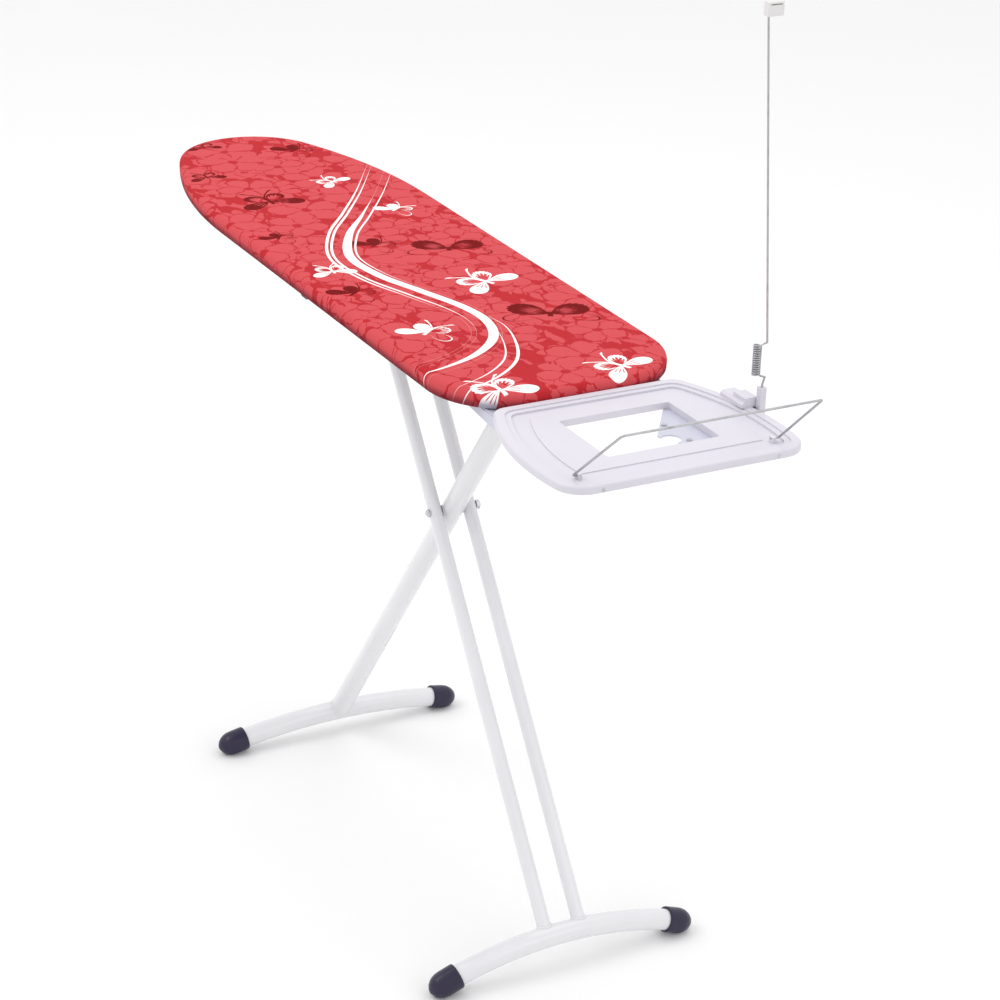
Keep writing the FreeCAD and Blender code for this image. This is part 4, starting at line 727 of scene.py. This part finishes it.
def make_padding():
    """Foam pad between the panel and the cover: a soft slab with a rounded rim."""
    low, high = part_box("padding")
    base, away = OUTLINE[:, :2], OUTLINE[:, 2:]
    inset = WIDE_END - high.x
    thick = high.z - low.z
    rows = [(0.030, low.z), (0.004, low.z)]
    for angle in np.radians(np.linspace(-90, 90, 7)):
        rows.append((0.5 * thick * (1 - math.cos(angle)), low.z + 0.5 * thick * (1 + math.sin(angle))))
    rows.append((0.012, high.z))
    points = [np.column_stack([base - away * (inset + step), np.full(COLUMNS, z)]) for step, z in rows]
    for start, z in ((points[0], low.z), (points[-1], high.z)):
        spine = spine_under(start)
        grown = [np.column_stack([start[:, :2] * (1 - s) + spine * s, np.full(COLUMNS, z)])
                 for s in np.linspace(0.25, 1, 4)]
        points = grown[::-1] + points if z == low.z else points + grown
    pad = mesh_object("foam_pad", on_board(points), ring_faces(len(points), COLUMNS))
    close_doubles(pad.data, 0.0003)
    pad.data.materials.append(foam("pad_foam"))
    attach(pad, "board")
    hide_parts("padding")
    return pad


def foam(name):
    look = Look(name, Specular_IOR_Level=0.2)
    cells = look.voronoi(900.0)["Distance"]
    look.set("Base Color", look.mix(look.noise(20.0), colour(236, 232, 214), colour(246, 243, 230)))
    look.set("Roughness", look.ramp(cells, 0.0, 0.5, 0.85, 0.95))
    look.bump(cells, 0.5, 0.0004)
    return look.material


def make_hem_binding():
    """Elastic binding along the hem's inner edge: a ruched roll."""
    low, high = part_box("hem_elastic")
    mid = 0.5 * (low.z + high.z)
    base, away = OUTLINE[:, :2], OUTLINE[:, 2:]
    inset = WIDE_END - high.x + 0.0018
    run = np.arange(COLUMNS) / COLUMNS * PERIMETER
    ruche = 1.0 + 0.22 * np.sin(run * 2 * math.pi / 0.0098)
    sides = 10
    points = []
    for side in range(sides):
        angle = 2 * math.pi * side / sides
        shift = inset - 0.0021 * math.cos(angle) * ruche
        height = mid + 0.0015 * math.sin(angle) * ruche
        points.append(np.column_stack([base - away * shift[:, None], height]))
    faces = ring_faces(sides, COLUMNS)
    last = (sides - 1) * COLUMNS
    faces += [(last + c, last + (c + 1) % COLUMNS, (c + 1) % COLUMNS, c) for c in range(COLUMNS)]
    binding = mesh_object("hem_binding", on_board(points), faces)
    look = Look("hem_elastic_knit", Sheen_Weight=0.2, Sheen_Roughness=0.5, Specular_IOR_Level=0.2)
    look.set("Base Color", look.mix(look.noise(300.0), colour(196, 48, 58), colour(214, 70, 78)))
    look.set("Roughness", look.ramp(look.noise(90.0), 0.3, 0.7, 0.75, 0.9))
    look.bump(look.noise(1500.0, 2.0), 0.4, 0.0003)
    binding.data.materials.append(look.material)
    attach(binding, "board")
    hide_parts("hem_elastic")
    return binding


# ---------------------------------------------------------------- steel details

def tube_along(name, path, radius, cyclic, sides=10):
    """A round wire along a path, as a mesh, with closed ends if the path is open."""
    curve = bpy.data.curves.new(name + "_path", "CURVE")
    curve.dimensions = "3D"
    curve.bevel_depth = radius
    curve.bevel_resolution = sides // 4
    curve.use_fill_caps = True
    spline = curve.splines.new("POLY")
    spline.points.add(len(path) - 1)
    spline.points.foreach_set("co", np.column_stack([path, np.ones(len(path))]).ravel())
    spline.use_cyclic_u = cyclic
    holder = bpy.data.objects.new(name + "_path", curve)
    mesh = bpy.data.meshes.new_from_object(holder)
    bpy.data.objects.remove(holder)
    mesh.name = name
    mesh.polygons.foreach_set("use_smooth", [True] * len(mesh.polygons))
    made = bpy.data.objects.new(name, mesh)
    bpy.context.scene.collection.objects.link(made)
    return made


def make_coil(steel):
    """Close-wound coil at the foot of the mast."""
    low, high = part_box("mast_spring")
    middle = (low + high) / 2
    radius = (high.x - low.x) / 2 - COIL_WIRE
    angles = np.linspace(0, COIL_TURNS * 2 * math.pi, COIL_TURNS * 28 + 1)
    bottom, top = low.z + COIL_WIRE, high.z - COIL_WIRE
    rise = bottom + (top - bottom) * angles / angles[-1]
    leave = np.clip((angles - angles[-1]) / COIL_LEAD_ANGLE + 1, 0, 1) ** 2
    wide = radius + COIL_LEAD_OUT * leave
    turned = angles + COIL_START
    path = np.column_stack([middle.x + wide * np.cos(turned), middle.y + wide * np.sin(turned),
                            rise + COIL_LEAD_UP * leave])
    coil = tube_along("mast_coil", path, COIL_WIRE, False)
    coil.data.materials.append(steel)
    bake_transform(coil)
    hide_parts("mast_spring")


def weld_ring(leg_point, way, leg_radius, foot, arc_radius):
    """The line where a leg tube meets its arched foot tube, as points round the leg."""
    low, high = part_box(foot + "_foot_tube")
    tube = (high.x - low.x) / 2
    x, centre_z = (low.x + high.x) / 2, high.z - tube - arc_radius
    across = Vector((0, 1, 0))
    third = way.cross(across)
    ring = []
    for angle in np.linspace(0, 2 * math.pi, 64, endpoint=False):
        edge = leg_point + (across * math.cos(angle) + third * math.sin(angle)) * leg_radius
        near, far = 0.0, WELD_SEARCH_SPAN
        for _ in range(40):
            middle = (near + far) / 2
            spot = edge + way * middle
            off = math.hypot(spot.x - x, math.hypot(spot.y, spot.z - centre_z) - arc_radius)
            near, far = (middle, far) if off > tube else (near, middle)
        ring.append(edge + way * near)
    return np.array(ring)


def make_welds(paint):
    """Painted weld beads where the legs meet the foot tubes."""
    joints = {joint["name"]: joint for joint in frame["joints"]}
    crossing = Vector(joints["crossing_pivot"]["pos_m"])
    for name, foot, leg_radius, offset, arc_radius, body in WELDS:
        low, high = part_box(foot + "_foot_tube")
        tube = (high.x - low.x) / 2
        way = (Vector(((low.x + high.x) / 2, 0, high.z - tube)) - Vector((crossing.x, 0, crossing.z)))
        reach = way.length
        way.normalize()
        start = Vector((crossing.x, offset, crossing.z)) + way * (reach - WELD_SEARCH_BACK)
        ring = weld_ring(start, way, leg_radius, foot, arc_radius)
        bead = tube_along(name, ring, WELD_BEAD, True)
        bead.data.materials.append(paint)
        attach(bead, body)


# ---------------------------------------------------------------- carried-over CAD nodes

def dress_cad_nodes():
    """Give every CAD node that stays its procedural material, by its slot in the record."""
    looks = {
        "core_plastic": moulded("core_plastic", colour(186, 187, 190), 0.55),
        "zinc_steel": zinc("zinc_steel", (0.72, 0.73, 0.75, 1.0), 0.26),
        "steel_wire": drawn_wire("steel_wire", (0.46, 0.46, 0.48, 1.0), 0.20),
        "screw_steel": zinc("screw_steel", (0.62, 0.63, 0.66, 1.0), 0.28),
        "white_paint": painted("white_paint", colour(225, 225, 228), 0.20, 0.6),
        "painted_plate": painted("painted_plate", colour(196, 196, 212), 0.34, 0.3),
        "rest_plastic": moulded("rest_plastic", colour(211, 208, 217), 0.36, 0.08, 1800.0, 0.02),
        "white_plastic": moulded("white_plastic", colour(216, 215, 221), 0.38),
        "clip_plastic": moulded("clip_plastic", colour(219, 217, 217), 0.40),
        "cap_plastic": cap_rubber("cap_plastic", colour(25, 15, 50)),
    }
    for obj in frame["nodes"].values():
        for slot_of in obj.material_slots:
            name = slot_of.material.name.split(".")[0] if slot_of.material else ""
            if name in looks:
                slot_of.material = looks[name]
    return looks


# ---------------------------------------------------------------- stage

def make_stage():
    floor = mesh_object("studio_floor", [(-6, -6, 0), (6, -6, 0), (6, 6, 0), (-6, 6, 0)], [(0, 1, 2, 3)])
    look = Look("studio_floor", Specular_IOR_Level=0.1)
    look.set("Base Color", look.mix(look.noise(0.8), (0.90, 0.90, 0.90, 1), (0.93, 0.93, 0.93, 1)))
    look.set("Roughness", 0.8)
    floor.data.materials.append(look.material)
    world = bpy.data.worlds.new("studio_world")
    bpy.context.scene.world = world
    world.use_nodes = True
    background = world.node_tree.nodes["Background"]
    background.inputs[0].default_value = (1.0, 1.0, 1.0, 1.0)
    background.inputs[1].default_value = 0.98


def soft_light(name, place, target, size, power):
    data = bpy.data.lights.new(name, "AREA")
    data.shape = "RECTANGLE"
    data.size, data.size_y = size
    data.energy = power
    lamp = bpy.data.objects.new(name, data)
    bpy.context.scene.collection.objects.link(lamp)
    lamp.location = place
    lamp.rotation_euler = (Vector(target) - Vector(place)).to_track_quat("-Z", "Y").to_euler()
    return lamp


def make_camera():
    """Camera at the reference viewing angle, aimed at the middle of the board."""
    data = bpy.data.cameras.new("view")
    data.lens = 99.23
    data.sensor_width = 36.0
    camera = bpy.data.objects.new("view", data)
    bpy.context.scene.collection.objects.link(camera)
    place, target = Vector((3.6039, -1.8392, 2.3993)), Vector((-0.1758, 0.2235, 0.4763))
    camera.location = place
    turn = (target - place).to_track_quat("-Z", "Y").to_matrix()
    roll = Matrix.Rotation(math.radians(1.83), 3, "Z")
    camera.rotation_euler = (turn @ roll).to_euler()
    bpy.context.scene.camera = camera


make_camera()
make_stage()
soft_light("key", (-0.9, -2.6, 4.0), (0, 0, 0.6), (2.4, 2.0), 33)
soft_light("fill", (4.2, 1.6, 2.4), (0, 0, 0.5), (2.0, 2.0), 10)
soft_light("top", (-0.6, 0.8, 4.4), (0, 0, 0.6), (4.0, 3.0), 33)
bpy.context.scene.view_settings.view_transform = "Standard"

looks = dress_cad_nodes()
make_coil(looks["steel_wire"])
make_welds(looks["white_paint"])
make_padding()
make_cover()
make_hem_binding()
